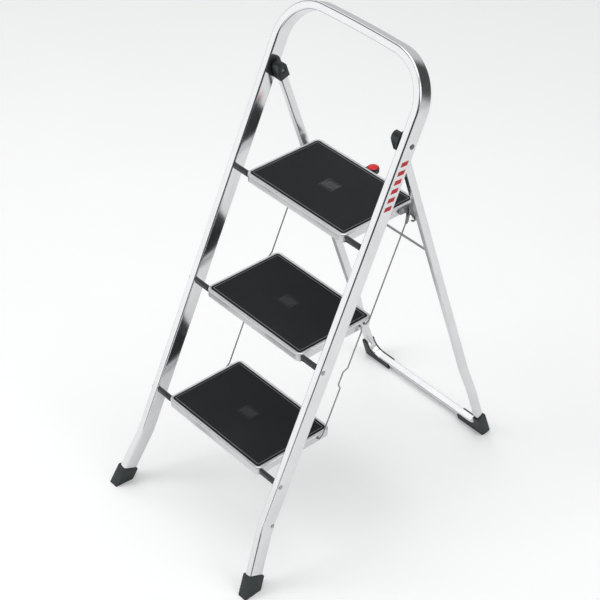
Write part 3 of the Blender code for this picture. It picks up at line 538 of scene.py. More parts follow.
# ------------------------------------------------------ bent hollow tubes
def tube(path, width, depth, centre_b, place, radius, wall, corner=6):
    """Bent rectangular tube.  path: (a, s) points in a plane, place(a, s, b)
    puts them in space, b runs across the plane.  UVs are metres along and
    round the tube."""
    c = np.array(path, float)
    tan = np.gradient(c, axis=0)
    tan /= np.linalg.norm(tan, axis=1)[:, None]
    nrm = np.stack([-tan[:, 1], tan[:, 0]], axis=1)
    along = np.concatenate([[0.0], np.cumsum(np.linalg.norm(np.diff(c, axis=0), axis=1))])

    def section(w, d, r):
        return [(p[0], p[1]) for p in rounded_rect(-w / 2.0, w / 2.0, -d / 2.0, d / 2.0, r, corner)]

    outer = section(width, depth, radius)
    inner = section(width - 2 * wall, depth - 2 * wall, max(radius - wall, 0.0003))
    bm = bmesh.new()
    uv = bm.loops.layers.uv.new("UVMap")

    def skin(sec, inside):
        per = [0.0]
        for p, q in zip(sec, sec[1:] + sec[:1]):
            per.append(per[-1] + math.hypot(q[0] - p[0], q[1] - p[1]))
        rings = []
        for i in range(len(c)):
            rings.append([bm.verts.new(place(c[i, 0] + nrm[i, 0] * a, c[i, 1] + nrm[i, 1] * a, centre_b + b))
                          for a, b in sec])
        n = len(sec)
        for i in range(len(c) - 1):
            for k in range(n):
                j = (k + 1) % n
                vs = (rings[i][k], rings[i][j], rings[i + 1][j], rings[i + 1][k])
                f = bm.faces.new(vs if not inside else vs[::-1])
                f.material_index = 1 if inside else 0
                uvs = {rings[i][k]: (along[i], per[k]), rings[i][j]: (along[i], per[k + 1]),
                       rings[i + 1][j]: (along[i + 1], per[k + 1]), rings[i + 1][k]: (along[i + 1], per[k])}
                for lp in f.loops:
                    lp[uv].uv = uvs[lp.vert]
        return rings
    ro, ri = skin(outer, False), skin(inner, True)
    for e in (0, -1):
        for k in range(len(outer)):
            j = (k + 1) % len(outer)
            bm.faces.new((ro[e][k], ro[e][j], ri[e][j], ri[e][k]))
    bmesh.ops.recalc_face_normals(bm, faces=bm.faces)
    me = bpy.data.meshes.new("tube")
    bm.to_mesh(me)
    bm.free()
    return shade(obj_from(me, "tube"), 45.0)


def front_path():
    half = FRAME_W / 2.0 - TUBE_A / 2.0
    slope = SPLAY / S_BEND
    w = 0.013

    def x_at(s):
        d = S_BEND - 0.0015 - s
        if d <= -w:
            return half
        if d >= w:
            return half + slope * d
        return half + slope * (d + w) ** 2 / (4.0 * w)
    pts = [(x_at(s), s) for s in np.linspace(FOOT_S, S_BEND - w - 0.002, 8)]
    pts += [(x_at(s), s) for s in np.linspace(S_BEND - w - 0.001, S_BEND + w, 14)]
    r = CROWN_R - TUBE_A / 2.0
    top = FRAME_LEN - TUBE_A / 2.0
    sc = top - CROWN_SAG - r
    pts += [(half, s) for s in np.linspace(S_BEND + 0.03, sc - 0.01, 22)]
    for k in range(0, 33):
        a = math.radians(90.0 * k / 32)
        pts.append((half - r + r * math.cos(a), sc + r * math.sin(a)))
    for f in (0.86, 0.7, 0.5, 0.3, 0.14):
        pts.append(((half - r) * f, top - CROWN_SAG * f * f))
    left = [(-x, s) for x, s in pts[::-1]]
    return pts + [(0.0, top)] + left


fr = tube(front_path(), TUBE_A, TUBE_B, TUBE_B / 2.0, lambda a, s, b: rail(s, b, a), 0.0042, 0.0013, 9)
fr.data.materials.append(MAT["tube"])
fr.data.materials.append(MAT["bore"])
piece(fr, "hand_rail_frame", "front_frame", None, "aluminium_tube", "front_frame_tube")

BAR_CENTRE_L = LEG_LEN - 5.8 * MM / math.sin(BETA) - REAR_A / 2.0


def rear_path():
    half = REAR_W / 2.0 - REAR_A / 2.0
    low = half + REAR_JOG
    r = REAR_CORNER_R - REAR_A / 2.0
    pts = [(half, s) for s in np.linspace(-0.008, 0.690, 20)]
    for f in np.linspace(0.0, 1.0, 13):
        pts.append((half + REAR_JOG * (f * f * (3 - 2 * f)), 0.700 + 0.1 * f))
    for k in range(0, 25):
        a = math.radians(90.0 * k / 24.0)
        pts.append((low - r + r * math.cos(a), BAR_CENTRE_L - r + r * math.sin(a)))
    pts += [((low - r) * f, BAR_CENTRE_L) for f in (0.8, 0.6, 0.4, 0.2)]
    left = [(-x, s) for x, s in pts[::-1]]
    return pts + [(0.0, BAR_CENTRE_L)] + left


rr = tube(rear_path(), REAR_A, REAR_B, 0.0, lambda a, s, b: leg(s, b, a), 0.0022, 0.0012, 6)
rr.data.materials.append(MAT["rear"])
rr.data.materials.append(MAT["bore"])
piece(rr, "rear_leg_frame", "rear_frame", None, "aluminium_tube", "rear_frame_tube")


# ------------------------------------------------- feet, caps and brackets
def front_foot(side, nm):
    half = FRAME_W / 2.0 - TUBE_A / 2.0
    slope = math.atan(SPLAY / S_BEND)
    wall = 2.2 * MM
    down = (U * -math.cos(slope) + X * (side * math.sin(slope))).normalized()
    top = rail(FOOT_TOP, TUBE_B / 2.0, side * (half + SPLAY * (1.0 - FOOT_TOP / S_BEND)))
    fr_ = flat_frame(top, N, down)
    w = TUBE_B + 2.0 * wall
    ob = slab([rounded_rect(-w / 2.0, w / 2.0, 0.0, 0.070, 3.0 * MM, 5)], TUBE_A + 2.0 * wall, fr_)
    cut(ob, slab([rounded_rect(-TUBE_B / 2.0 - GAP, TUBE_B / 2.0 + GAP, -0.01,
                               (FOOT_TOP - FOOT_S) / math.cos(slope) + 0.6 * MM, 1.0 * MM, 2)],
                 TUBE_A + 2.0 * GAP, fr_))
    cut(ob, block((0.2, 0.3, 0.1), (top.x, ORG.y, -0.05)))
    heel = rail(0.0, 0.0, top.x) + Vector((0.0, TUBE_B / math.sin(ALPHA) + 0.0016, 0.0))
    cut(ob, block((0.2, 0.03, 0.03), (top.x, heel.y + 0.0135, heel.z - 0.0085), math.radians(-38.0)))
    # shallow grip grooves across the sole
    for k in range(5):
        cut(ob, block((0.2, 0.0012, 0.0010), (top.x, ORG.y + 0.004 + 0.0058 * k, 0.0)))
    round_edges(ob, 1.2 * MM, 3, 50.0)
    bake(ob)
    shade(ob, 35.0)
    return piece(ob, "front_shoe_" + nm, "front_frame", "foot", "black_plastic", "front_foot_" + nm)


def hinge_bracket(side, nm):
    inner = FRAME_W / 2.0 - TUBE_A
    x0, x1 = inner - 4.7 * MM, inner - GAP
    pts = [(970.0, 26.0), (975.0, 10.0), (979.0, 0.5), (988.0, -1.5), (1004.0, -1.5), (1012.0, 1.0),
           (1016.0, 7.0), (1014.0, 22.0), (1006.0, 31.0), (994.0, 35.0), (978.0, 34.0)]
    loop = [(s * MM - HINGE_S, t * MM - HINGE_T) for s, t in pts]
    mid = side * (x0 + x1) / 2.0
    face = x0 + 0.9 * MM
    ob = slab([loop], x1 - face, flat_frame(HINGE + X * (side * (face + x1) / 2.0), U, N))
    round_edges(ob, 0.9 * MM, 3, 35.0)
    bake(ob)
    # round boss at the top and a raised seat round the pin
    boss = lathe([(side * x1, 0.0), (side * x1, 4.6 * MM), (side * (face - 0.4 * MM), 4.6 * MM),
                  (side * (x0 + 0.15 * MM), 4.1 * MM), (side * x0, 3.6 * MM), (side * x0, 2.3 * MM),
                  (side * (face - 0.1 * MM), 1.9 * MM), (side * (face - 0.1 * MM), 0.0)], rail(1.0055, 0.0100), 40)
    cut(ob, boss, "UNION")
    seat = lathe([(side * x1, 0.0), (side * x1, 8.5 * MM), (side * (x0 + 0.3 * MM), 8.5 * MM),
                  (side * x0, 8.1 * MM), (side * x0, 0.0)], HINGE, 48)
    cut(ob, seat, "UNION")
    cut(ob, rod(side * (x0 - 0.01), side * (x1 + 0.01), HINGE, 0.0033, 40))
    shade(ob, 35.0)
    return piece(ob, "pivot_bracket_" + nm, "front_frame", "plastic", "black_plastic", "hinge_bracket_" + nm)


CAP_X0 = REAR_W / 2.0 - REAR_A - 3.0 * MM
CAP_X1 = REAR_W / 2.0 + 3.2 * MM


CAP_BORE_R, CAP_BORE_H = 6.5 * MM, 1.4 * MM


def hinge_cap(side, nm):
    pts = [(21.0, 11.9), (-8.0, 11.9), (-15.3, 7.2), (-17.0, 0.5), (-14.2, -6.3), (-8.0, -10.9), (1.0, -11.9),
           (21.0, -11.9)]
    ob = slab([[(l * MM, n * MM) for l, n in pts]], CAP_X1 - CAP_X0,
              flat_frame(HINGE + X * (side * (CAP_X0 + CAP_X1) / 2.0), D, E))
    round_edges(ob, 1.2 * MM, 2, 25.0)
    bake(ob)
    weld(ob.data)
    mid = side * (REAR_W / 2.0 - REAR_A / 2.0)
    cut(ob, slab([rounded_rect(-8.3 * MM, 0.040, -REAR_B / 2.0 - GAP, REAR_B / 2.0 + GAP, 1.0 * MM, 2)],
                 REAR_A + 2.0 * GAP, flat_frame(HINGE + X * mid, D, E)))
    # counterbore for the pin head, with a chamfered mouth
    bore = lathe([(side * (CAP_X0 - 0.001), 0.0), (side * (CAP_X0 - 0.001), CAP_BORE_R + 0.9 * MM),
                  (side * CAP_X0, CAP_BORE_R + 0.9 * MM), (side * (CAP_X0 + 0.55 * MM), CAP_BORE_R),
                  (side * (CAP_X0 + CAP_BORE_H), CAP_BORE_R), (side * (CAP_X0 + CAP_BORE_H), 0.0)], HINGE, 48)
    cut(ob, bore)
    cut(ob, rod(side * (CAP_X0 - 0.01), side * (CAP_X1 + 0.01), HINGE, 0.0033, 32))
    shade(ob, 30.0)
    return piece(ob, "leg_cap_" + nm, "rear_frame", "plastic", "black_plastic", "hinge_cap_" + nm)


def rear_foot(side, nm):
    low = REAR_W / 2.0 + REAR_JOG
    web, flange, flare = 3.4 * MM, 2.8 * MM, 2.0 * MM
    bar_out = BAR_CENTRE_L + REAR_A / 2.0
    floor_l, top_l = LEG_LEN, LEG_LEN - 0.0565
    x_in, r_out = low - 0.072, 3.0 * MM
    outer = [(low + web, top_l)]
    ccx, ccl = low + web + flare - r_out, floor_l + 2.0 * MM - r_out
    for k in range(0, 7):
        a = math.radians(15.0 * k)
        outer.append((ccx + r_out * math.cos(a), ccl + r_out * math.sin(a)))
    outer.append((x_in, floor_l + 2.0 * MM))
    ri, fl = 26.0 * MM, 13.2 * MM
    ix, il = low - fl, bar_out - 12.5 * MM
    inner = [(x_in, il)]
    for k in range(12, -1, -1):
        a = math.radians(7.5 * k)
        inner.append((ix - ri + ri * math.cos(a), il - ri + ri * math.sin(a)))
    inner.append((ix, top_l))
    fr_ = flat_frame(HINGE, X, D)
    ob = slab([[(side * x, l) for x, l in outer + inner]], REAR_B + 2.0 * flange + 2.0 * GAP, fr_)
    half = REAR_W / 2.0 - REAR_A / 2.0 + REAR_JOG
    r = REAR_CORNER_R - REAR_A / 2.0
    cpath = [(side * half, 0.860)]
    for k in range(0, 17):
        a = math.radians(90.0 * k / 16.0)
        cpath.append((side * (half - r + r * math.cos(a)), BAR_CENTRE_L - r + r * math.sin(a)))
    cpath.append((side * 0.08, BAR_CENTRE_L))
    cut(ob, slab([strip(cpath, REAR_A + 2.0 * GAP)], REAR_B + 2.0 * GAP, fr_))
    cut(ob, block((0.3, 0.2, 0.1), (side * 0.15, leg(LEG_LEN, 0.0).y, -0.05)))
    for k in range(7):
        cut(ob, block((0.0012, 0.2, 0.0012), (side * (low + web - 0.018 - 0.0075 * k), leg(LEG_LEN, 0.0).y, 0.0)))
    round_edges(ob, 0.7 * MM, 3, 50.0)
    bake(ob)
    shade(ob, 35.0)
    return piece(ob, "rear_shoe_" + nm, "rear_frame", "foot", "black_plastic", "rear_foot_" + nm)


for side, nm in SIDES:
    front_foot(side, nm)
    hinge_bracket(side, nm)
    hinge_cap(side, nm)
    rear_foot(side, nm)

# ------------------------------------------------------- pins and rivets
OUT = FRAME_W / 2.0
for side, nm in SIDES:
    prof = dome(side * (OUT + GAP), side, 5.5 * MM, 1.75 * MM, side * (OUT - 0.004), 3.0 * MM, 9, 2.0 * MM)
    outer_half = prof[::-1]
    inner_x = CAP_X0 + CAP_BORE_H - GAP
    inner_half = dome(side * inner_x, -side, 4.4 * MM, 1.4 * MM, side * (OUT - 0.004), 3.0 * MM, 8, 1.8 * MM)
    body_prof = outer_half[:-1] + inner_half[2:]
    ob = lathe(body_prof, HINGE, 48, 40.0)
    piece(ob, "pivot_pin_" + nm, "front_frame", "pin", "steel", "hinge_pin_" + nm)
    c = rail(0.1585, 0.0265)
    ob = lathe(dome(side * (OUT + GAP), side, 4.4 * MM, 1.45 * MM, side * (OUT - 0.002), 2.4 * MM, 8, 1.6 * MM), c, 40, 40.0)
    piece(ob, "foot_rivet_" + nm, "front_frame", "rivet", "steel", "rail_rivet_" + nm)

for i, label in enumerate(LABELS):
    right_p = dome(OUT + GAP, 1, 5.1 * MM, 1.55 * MM, 0.0, 3.0 * MM, 9, 1.9 * MM)[::-1]
    left_p = dome(-(OUT + GAP), -1, 5.1 * MM, 1.55 * MM, 0.0, 3.0 * MM, 9, 1.9 * MM)
    prof = right_p[:-2] + left_p[2:]
    if i == 2:
        # the top axle ends inside the rails and has no outer heads
        end = OUT - 2.8 * MM
        prof = [(-end, 0.0), (-end, 2.6 * MM), (-end + 0.4 * MM, 3.0 * MM), (end - 0.4 * MM, 3.0 * MM),
                (end, 2.6 * MM), (end, 0.0)]
    ob = lathe(prof, AXLES[i], 48, 40.0)
    piece(ob, "tread_axle_" + label, "front_frame", "rivet", "steel", "step_axle_" + label)
    for side, nm in SIDES:
        x0 = side * (TREAD_W / 2.0 + 0.5 * MM)
        x1 = side * (OUT - TUBE_A - GAP)
        # extruded plastic spacer: a round bore in a body with flats, taller above the axle
        n = 8
        loop = []
        for k in range(n):
            for f in (-0.40, 0.40):
                a = 2.0 * math.pi * (k + 0.5 + f) / n + math.radians(22.5)
                up = 4.2 * MM if math.sin(a) > 0.0 else 0.0
                loop.append((4.88 * MM * math.cos(a), 4.88 * MM * math.sin(a) + up))
        hole = [(3.3 * MM * math.cos(2 * math.pi * k / 40), 3.3 * MM * math.sin(2 * math.pi * k / 40)) for k in range(40)]
        ob = slab([loop, hole], abs(x1 - x0), flat_frame(Vector(((x0 + x1) / 2.0, AXLES[i].y, AXLES[i].z)),
                                                          Vector((0, 1, 0)), Vector((0, 0, 1))))
        round_edges(ob, 0.25 * MM, 2, 60.0)
        bake(ob)
        shade(ob, 25.0)
        piece(ob, "spacer_%s_%s" % (label, nm), "front_frame", "sleeve", "black_plastic",
              "axle_sleeve_%s_%s" % (label, nm))

# --------------------------------------------------- rear rod and studs
OUT_R = REAR_W / 2.0
c = leg(CROSS_ROD_L, 0.0)
end = OUT_R - 2.8 * MM
ob = lathe([(-end, 0.0), (-end, 2.1 * MM), (-end + 0.4 * MM, 2.5 * MM), (end - 0.4 * MM, 2.5 * MM),
            (end, 2.1 * MM), (end, 0.0)], c, 36, 40.0)
piece(ob, "leg_brace_rod", "rear_frame", "wire", "steel", "rear_cross_rod")
for side, nm in SIDES:
    c = AXLES[2] + Vector((0.0, STUD_Y, STUD_Z))
    xi, xl = TREAD_W / 2.0 + 0.3 * MM, REAR_W / 2.0 - REAR_A
    prof = [(xi, 0.0), (xi, 2.1), (xi + 0.25 * MM, 2.9), (xi + 0.6 * MM, 3.4), (xi + 1.1 * MM, 3.6),
            (xi + 2.4 * MM, 3.6), (xi + 2.6 * MM, 3.2), (xl - 1.9 * MM, 3.2), (xl - 1.7 * MM, 3.6),
            (xl - GAP, 3.6), (xl - GAP, 2.5), (xl + 5.8 * MM, 2.5), (xl + 5.8 * MM, 0.0)]
    ob = lathe([(side * x, r * MM) for x, r in prof], c, 40, 35.0)
    piece(ob, "tread_stud_" + nm, "rear_frame", "rivet", "steel", "leg_stud_" + nm)


# ------------------------------------------------------------------ treads
def loft(i, rings, cap_first=True, cap_last=True, steps=12):
    """Rounded rectangles (inset, z) joined in order round a tread."""
    hw = TREAD_W / 2.0
    bm = bmesh.new()
    loops = []
    for inset, z in rings:
        r = max(TREAD_R - inset, 1.2 * MM)
        pts = rounded_rect(-hw + inset, hw - inset, TREAD_Y0 + inset, TREAD_Y1 - inset, r, steps)
        loops.append([bm.verts.new(AXLES[i] + Vector((x, y, z))) for x, y in pts])
    for a, b in zip(loops, loops[1:]):
        n = len(a)
        for k in range(n):
            j = (k + 1) % n
            bm.faces.new((a[k], a[j], b[j], b[k]))
    if cap_first:
        bm.faces.new(loops[0])
    if cap_last:
        bm.faces.new(loops[-1][::-1])
    bmesh.ops.recalc_face_normals(bm, faces=bm.faces)
    me = bpy.data.meshes.new("loft")
    bm.to_mesh(me)
    bm.free()
    return obj_from(me, "loft")


def tray(i, label):
    z = RIM_Z
    rings = [(6.9 * MM, z - 1.3 * MM), (6.45 * MM, z - 1.3 * MM), (6.30 * MM, z - 0.5 * MM), (6.05 * MM, z - 0.15 * MM),
             (5.6 * MM, z - 0.02 * MM), (5.0 * MM, z), (3.1 * MM, z)]
    for k in range(1, 9):
        a = math.radians(90.0 * k / 8.0)
        rings.append((2.9 * MM * (1 - math.sin(a)), z - 2.9 * MM * (1 - math.cos(a))))
    rings += [(0.0, z - 3.9 * MM), (0.12 * MM, z - 4.3 * MM), (0.5 * MM, z - 4.6 * MM), (0.62 * MM, z - 4.9 * MM),
              (0.62 * MM, SKIRT_Z + 1.0 * MM), (0.70 * MM, SKIRT_Z + 0.45 * MM), (0.95 * MM, SKIRT_Z + 0.12 * MM),
              (1.35 * MM, SKIRT_Z), (1.75 * MM, SKIRT_Z + 0.12 * MM), (2.0 * MM, SKIRT_Z + 0.5 * MM),
              (2.05 * MM, SKIRT_Z + 3.2 * MM), (1.95 * MM, SKIRT_Z + 3.6 * MM), (1.95 * MM, z - 4.4 * MM),
              (2.2 * MM, z - 3.5 * MM), (3.0 * MM, z - 3.0 * MM)]
    ob = loft(i, rings)
    # pressed stiffening channels under the deck, and the notch for the lever
    ribs = []
    for y in (0.040, 0.089, 0.138):
        rib = slab([rounded_rect(-0.128, 0.128, y - 5.0 * MM, y + 5.0 * MM, 4.9 * MM, 6)], 3.2 * MM,
                   flat_frame(AXLES[i] + Vector((0.0, 0.0, z - 4.4 * MM)), X, Vector((0, 1, 0))))
        round_edges(rib, 1.2 * MM, 3, 60.0)
        bake(rib)
        ribs.append(rib)
    for rib in ribs:
        cut(ob, rib, "UNION")
    if i == 2:
        cut(ob, block((0.022, 0.012, 0.018), AXLES[i] + Vector((0.0, TREAD_Y1, SKIRT_Z + 0.0055))))
    shade(ob, 28.0)
    return piece(ob, "tread_pan_" + label, "tread_" + label, "tray", "tread_metal", "tread_tray_" + label)


def mat(i, label):
    z, q = RIM_Z, 6.85 * MM
    prof = [(0.0, -1.0), (0.0, 0.1), (0.15, 0.45), (0.5, 0.62), (0.9, 0.62), (1.2, 0.45), (1.4, 0.0), (1.6, -0.55),
            (3.7, -0.60), (4.0, -0.1)]
    rings = [(q + a * MM, z + b * MM) for a, b in prof]
    body = loft(i, rings + [(q + 4.1 * MM, z + 0.15 * MM), (q + 4.3 * MM, z + 0.25 * MM), (q + 6.2 * MM, z + 0.25 * MM)], True, True)
    # the walking surface: fine cross ribs, modelled
    hw = TREAD_W / 2.0 - q - 5.9 * MM
    y0, y1 = TREAD_Y0 + q + 5.9 * MM, TREAD_Y1 - q - 5.9 * MM
    shade(body, 40.0)
    body.data.materials.append(MAT["mat"])
    # raised keder line just inside the groove
    line = loft(i, [(q + 4.05 * MM, z - 0.05 * MM), (q + 4.1 * MM, z + 0.40 * MM), (q + 4.35 * MM, z + 0.62 * MM),
                    (q + 4.8 * MM, z + 0.68 * MM), (q + 5.2 * MM, z + 0.62 * MM), (q + 5.45 * MM, z + 0.40 * MM),
                    (q + 5.5 * MM, z - 0.05 * MM)], False, False)
    shade(line, 60.0)
    line.data.materials.append(MAT["line"])
    piece(line, "mat_piping_" + label, "tread_" + label, None, "black_rubber")
    # ribbed field
    bm = bmesh.new()
    rows = []
    pitch, per = 2.4 * MM, 6
    n = int((y1 - y0) / pitch)
    x_cols = np.linspace(-hw, hw, 3)
    rc = TREAD_R * 0.25
    for k in range(n * per + 1):
        y = y0 + (y1 - y0) * k / (n * per)
        e = min(y - y0, y1 - y)
        pull = rc - math.sqrt(max(rc * rc - max(rc - e, 0.0) ** 2, 0.0)) if e < rc else 0.0
        h = 0.35 + 0.22 * abs(math.sin(math.pi * k / per)) ** 0.7
        hh = h if 0 < k < n * per else -0.1
        rows.append([bm.verts.new(AXLES[i] + Vector((float(x) * (1.0 - pull / hw), y, z + hh * MM))) for x in x_cols])
    for a, b in zip(rows, rows[1:]):
        for k in range(len(a) - 1):
            bm.faces.new((a[k], a[k + 1], b[k + 1], b[k]))
    low = [bm.verts.new(AXLES[i] + Vector((x, y, z - 0.2 * MM))) for x, y in
           ((-hw, y0), (hw, y0), (hw, y1), (-hw, y1))]
    me = bpy.data.meshes.new("field")
    for v in low:
        bm.verts.remove(v)
    bmesh.ops.recalc_face_normals(bm, faces=bm.faces)
    bm.to_mesh(me)
    bm.free()
    field = obj_from(me, "field")
    so = field.modifiers.new("thick", "SOLIDIFY")
    so.thickness = 0.25 * MM
    so.offset = -1.0
    bake(field)
    weld(field.data)
    shade(field, 60.0)
    piece(field, "mat_field_" + label, "tread_" + label, "mat", "black_rubber")
    # generic hatched patch at the middle
    bars = []
    cyl = 0.089
    bars.append(slab([rounded_rect(-0.019, 0.019, cyl - 0.0145, cyl + 0.0145, 1.5 * MM, 4),
                      rounded_rect(-0.0182, 0.0182, cyl - 0.0137, cyl + 0.0137, 1.0 * MM, 4)], 0.35 * MM,
                     flat_frame(AXLES[i] + Vector((0.0, 0.0, z + 0.50 * MM)), X, Vector((0, 1, 0)))))
    for k in range(-4, 5):
        xc = k * 3.9 * MM
        bars.append(slab([[(xc - 3.2 * MM, cyl - 0.0108), (xc - 0.9 * MM, cyl - 0.0108), (xc + 3.2 * MM, cyl + 0.0108),
                           (xc + 0.9 * MM, cyl + 0.0108)]] if abs(k) < 4 else
                         [[(xc - 1.0 * MM, cyl - 0.0108), (xc + 1.0 * MM, cyl - 0.0108), (xc + 1.0 * MM, cyl + 0.0108),
                           (xc - 1.0 * MM, cyl + 0.0108)]], 0.30 * MM,
                        flat_frame(AXLES[i] + Vector((0.0, 0.0, z + 0.50 * MM)), X, Vector((0, 1, 0)))))
    patch = join(bars)
    # the lower treads take the darker copy of the print: painted shade
    piece(patch, "mat_patch_" + label, "tread_" + label, "patch" if i == 2 else "patch_painted_shade", "black_rubber")
    body.name = "tread_rubber_" + label
    return piece(body, "tread_rubber_" + label, "tread_" + label, None, "black_rubber", "tread_mat_" + label)


for i, label in enumerate(LABELS):
    tray(i, label)
    mat(i, label)

# ------------------------------------------- eyelets where the links enter
for i, label in enumerate(LABELS):
    spots = []
    if i == 2:
        spots = []
    if i == 1:
        spots = [UP_PIVOT, LP_PIVOT]
    if i == 0:
        spots = [LP_PIVOT]
    obs = []
    for side, nm in SIDES:
        for k, (dy, dz) in enumerate(spots):
            x = TREAD_W / 2.0 - 0.62 * MM
            r0, r1 = 1.75 * MM, 3.1 * MM
            prof = [(x - 0.3 * MM, r0), (x + 0.30 * MM, r0), (x + 0.50 * MM, r0 + 0.25 * MM),
                    (x + 0.55 * MM, (r0 + r1) / 2), (x + 0.45 * MM, r1 - 0.25 * MM), (x + 0.1 * MM, r1),
                    (x - 0.3 * MM, r1), (x - 0.3 * MM, r0)]
            obs.append(lathe([(side * a, r) for a, r in prof], AXLES[i] + Vector((0.0, dy, dz)), 28, 40.0))
    if obs:
        ey = join(obs)
        shade(ey, 40.0)
        piece(ey, "skirt_eyelets_" + label, "tread_" + label, "plate", "steel")


# --------------------------------------------------- hook plates and lock
HOOK_X0, HOOK_X1 = TREAD_W / 2.0 + 0.3 * MM, TREAD_W / 2.0 + 2.3 * MM
for side, nm in SIDES:
    top = STUD_Z + STUD_R + GAP
    arc = []
    for k in range(9):
        a = math.radians(180.0 - 180.0 * k / 8)
        arc.append((STUD_Y / MM + (STUD_R + GAP) / MM * -math.cos(a), STUD_Z / MM + (STUD_R + GAP) / MM * math.sin(a)))
    pts = [(138.0, 7.5), (181.0, 7.5), (184.5, 4.0), (184.5, -12.0), (186.0, -24.0), (185.0, -29.0),
           (182.0, -29.0), (181.0, top / MM - 2.0), (180.0, top / MM), (171.5, top / MM), (166.8, -16.5),
           (163.2, -32.0), (160.5, -35.8), (156.5, -35.8), (154.6, -33.0), (157.6, -18.0), (157.0, -7.5),
           (141.0, -6.5), (136.0, -2.0), (136.0, 5.5)]
    loop = [(y * MM, z * MM) for y, z in pts]
    mid = side * (HOOK_X0 + HOOK_X1) / 2.0
    ob = slab([loop], HOOK_X1 - HOOK_X0,
              flat_frame(AXLES[2] + X * mid, Vector((0, 1, 0)), Vector((0, 0, 1))))
    for (dy, dz), r in ((UP_PIVOT, 1.8 * MM), (BAIL_PIVOT, 2.3 * MM)):
        cut(ob, rod(side * 0.14, side * 0.16, AXLES[2] + Vector((0.0, dy, dz)), r, 28))
    round_edges(ob, 0.35 * MM, 2, 35.0)
    bake(ob)
    shade(ob, 30.0)
    piece(ob, "catch_plate_" + nm, "tread_top", "plate", "steel", "hook_plate_" + nm)
    c = AXLES[2] + Vector((0.0, 0.1465, 0.0036))
    x = HOOK_X1 + GAP
    ob = lathe(dome(side * x, side, 3.55 * MM, 1.6 * MM, side * (x - 0.0), 2.0 * MM, 8, 1.3 * MM), c, 36, 40.0)
    piece(ob, "plate_rivet_" + nm, "tread_top", "rivet", "steel", "hook_rivet_" + nm)


def link(which, side, nm):
    i, pivot, off = (2, UP_PIVOT, UP_OFF) if which == "upper" else (1, LP_PIVOT, LP_OFF)
    topp = AXLES[i] + Vector((0.0, *pivot))
    bot = AXLES[i - 1] + Vector((0.0, *pivot))
    length = (topp - bot).length
    x_in, xw = side * (TREAD_W / 2.0 - 5.5 * MM), side * WIRE_X

    def at(a, o, x=None):
        p = topp - U * a + N * o
        p.x = xw if x is None else x
        return p
    pts = [at(0.0, 0.0, x_in), at(0.0, 0.0), at(0.011, off)]
    if which == "lower":
        pts += [at(0.094, off), at(0.103, LP_KINK), at(0.132, LP_KINK), at(0.141, off)]
    pts += [at(length - 0.011, off), at(length, 0.0), at(length, 0.0, x_in)]
    ob = wire(rounded_path(pts, 2.1 * MM, 8), 1.5 * MM, 5)
    return piece(ob, "link_rod_%s_%s" % (which, nm), "link_%s_%s" % (which, nm), "wire", "steel",
                 "link_wire_%s_%s" % (which, nm))


for side, nm in SIDES:
    link("upper", side, nm)
    link("lower", side, nm)

LOCK = AXLES[2] + Vector((0.0, *BAIL_PIVOT))
xj = 152.3
arm = [(xj, 178.0, -3.0), (xj, 184.0, -14.0), (xj, 185.0, -24.0), (xj, 182.0, -32.5), (xj, 174.5, -35.0),
       (xj, 169.0, -31.5)]
rightp = [AXLES[2] + Vector((a * MM, b * MM, d * MM)) for a, b, d in arm]
leftp = [Vector((-p.x, p.y, p.z)) for p in rightp]
ob = wire(rounded_path(leftp[::-1] + rightp, 3.5 * MM, 9), 2.0 * MM, 5)
piece(ob, "lock_rod", "lock", "wire", "steel", "lock_bail")


def lever():
    rad, cyy = 12.8 * MM, 205.3 * MM
    edge = [(8.0 * MM, 172.5 * MM), (8.0 * MM, cyy - 14.2 * MM), (13.9 * MM, cyy - 9.6 * MM), (13.7 * MM, cyy - 4.5 * MM)]
    loop = list(edge)
    for k in range(33):
        a = math.radians(180.0 * k / 32)
        loop.append((rad * math.cos(a), cyy + rad * math.sin(a)))
    loop += [(-x, y) for x, y in edge[::-1]]
    f = lambda z: flat_frame(AXLES[2] + Vector((0.0, 0.0, z)), X, Vector((0, 1, 0)))
    base = slab([loop], 7.6 * MM, f(-3.0 * MM))
    pad = [(rad * 0.93 * math.cos(2 * math.pi * k / 48), cyy + rad * 0.93 * math.sin(2 * math.pi * k / 48))
           for k in range(48)]
    cut(base, slab([pad], 7.2 * MM, f(-0.4 * MM)), "UNION")
    # thumb ribs on the neck
    for k in range(4):
        cut(base, block((0.013, 0.0011, 0.0012), AXLES[2] + Vector((0.0, 0.1835 + 0.0028 * k, 0.0009))))
    cut(base, rod(-0.02, 0.02, LOCK, 2.3 * MM, 28))
    round_edges(base, 0.7 * MM, 3, 45.0)
    bake(base)
    shade(base, 35.0)
    piece(base, "thumb_lever", "lock", "plastic", "black_plastic", "lock_lever")
    # slightly crowned red button
    c0 = AXLES[2] + Vector((0.0, cyy, 3.2 * MM + GAP))
    bm = bmesh.new()
    prof = [(0.0, 3.0), (2.5, 2.92), (4.9, 2.66), (7.2, 2.22), (9.0, 1.66), (10.2, 1.10), (10.8, 0.62), (11.0, 0.25),
            (11.0, 0.0), (0.0, 0.0)]
    rings = []
    n = 48
    for r, z in prof:
        if r == 0.0:
            rings.append([bm.verts.new(c0 + Vector((0, 0, z * MM)))])
        else:
            rings.append([bm.verts.new(c0 + Vector((r * MM * math.cos(2 * math.pi * k / n),
                                                    r * MM * math.sin(2 * math.pi * k / n), z * MM))) for k in range(n)])
    for a, b in zip(rings, rings[1:]):
        for k in range(n):
            j = (k + 1) % n
            if len(a) == 1:
                bm.faces.new((a[0], b[k], b[j]))
            elif len(b) == 1:
                bm.faces.new((a[k], b[0], a[j]))
            else:
                bm.faces.new((a[k], b[k], b[j], a[j]))
    bmesh.ops.recalc_face_normals(bm, faces=bm.faces)
    me = bpy.data.meshes.new("button")
    bm.to_mesh(me)
    bm.free()
    piece(shade(obj_from(me, "button"), 40.0), "lever_button", "lock", "red", "red_plastic", "lock_disc")


lever()

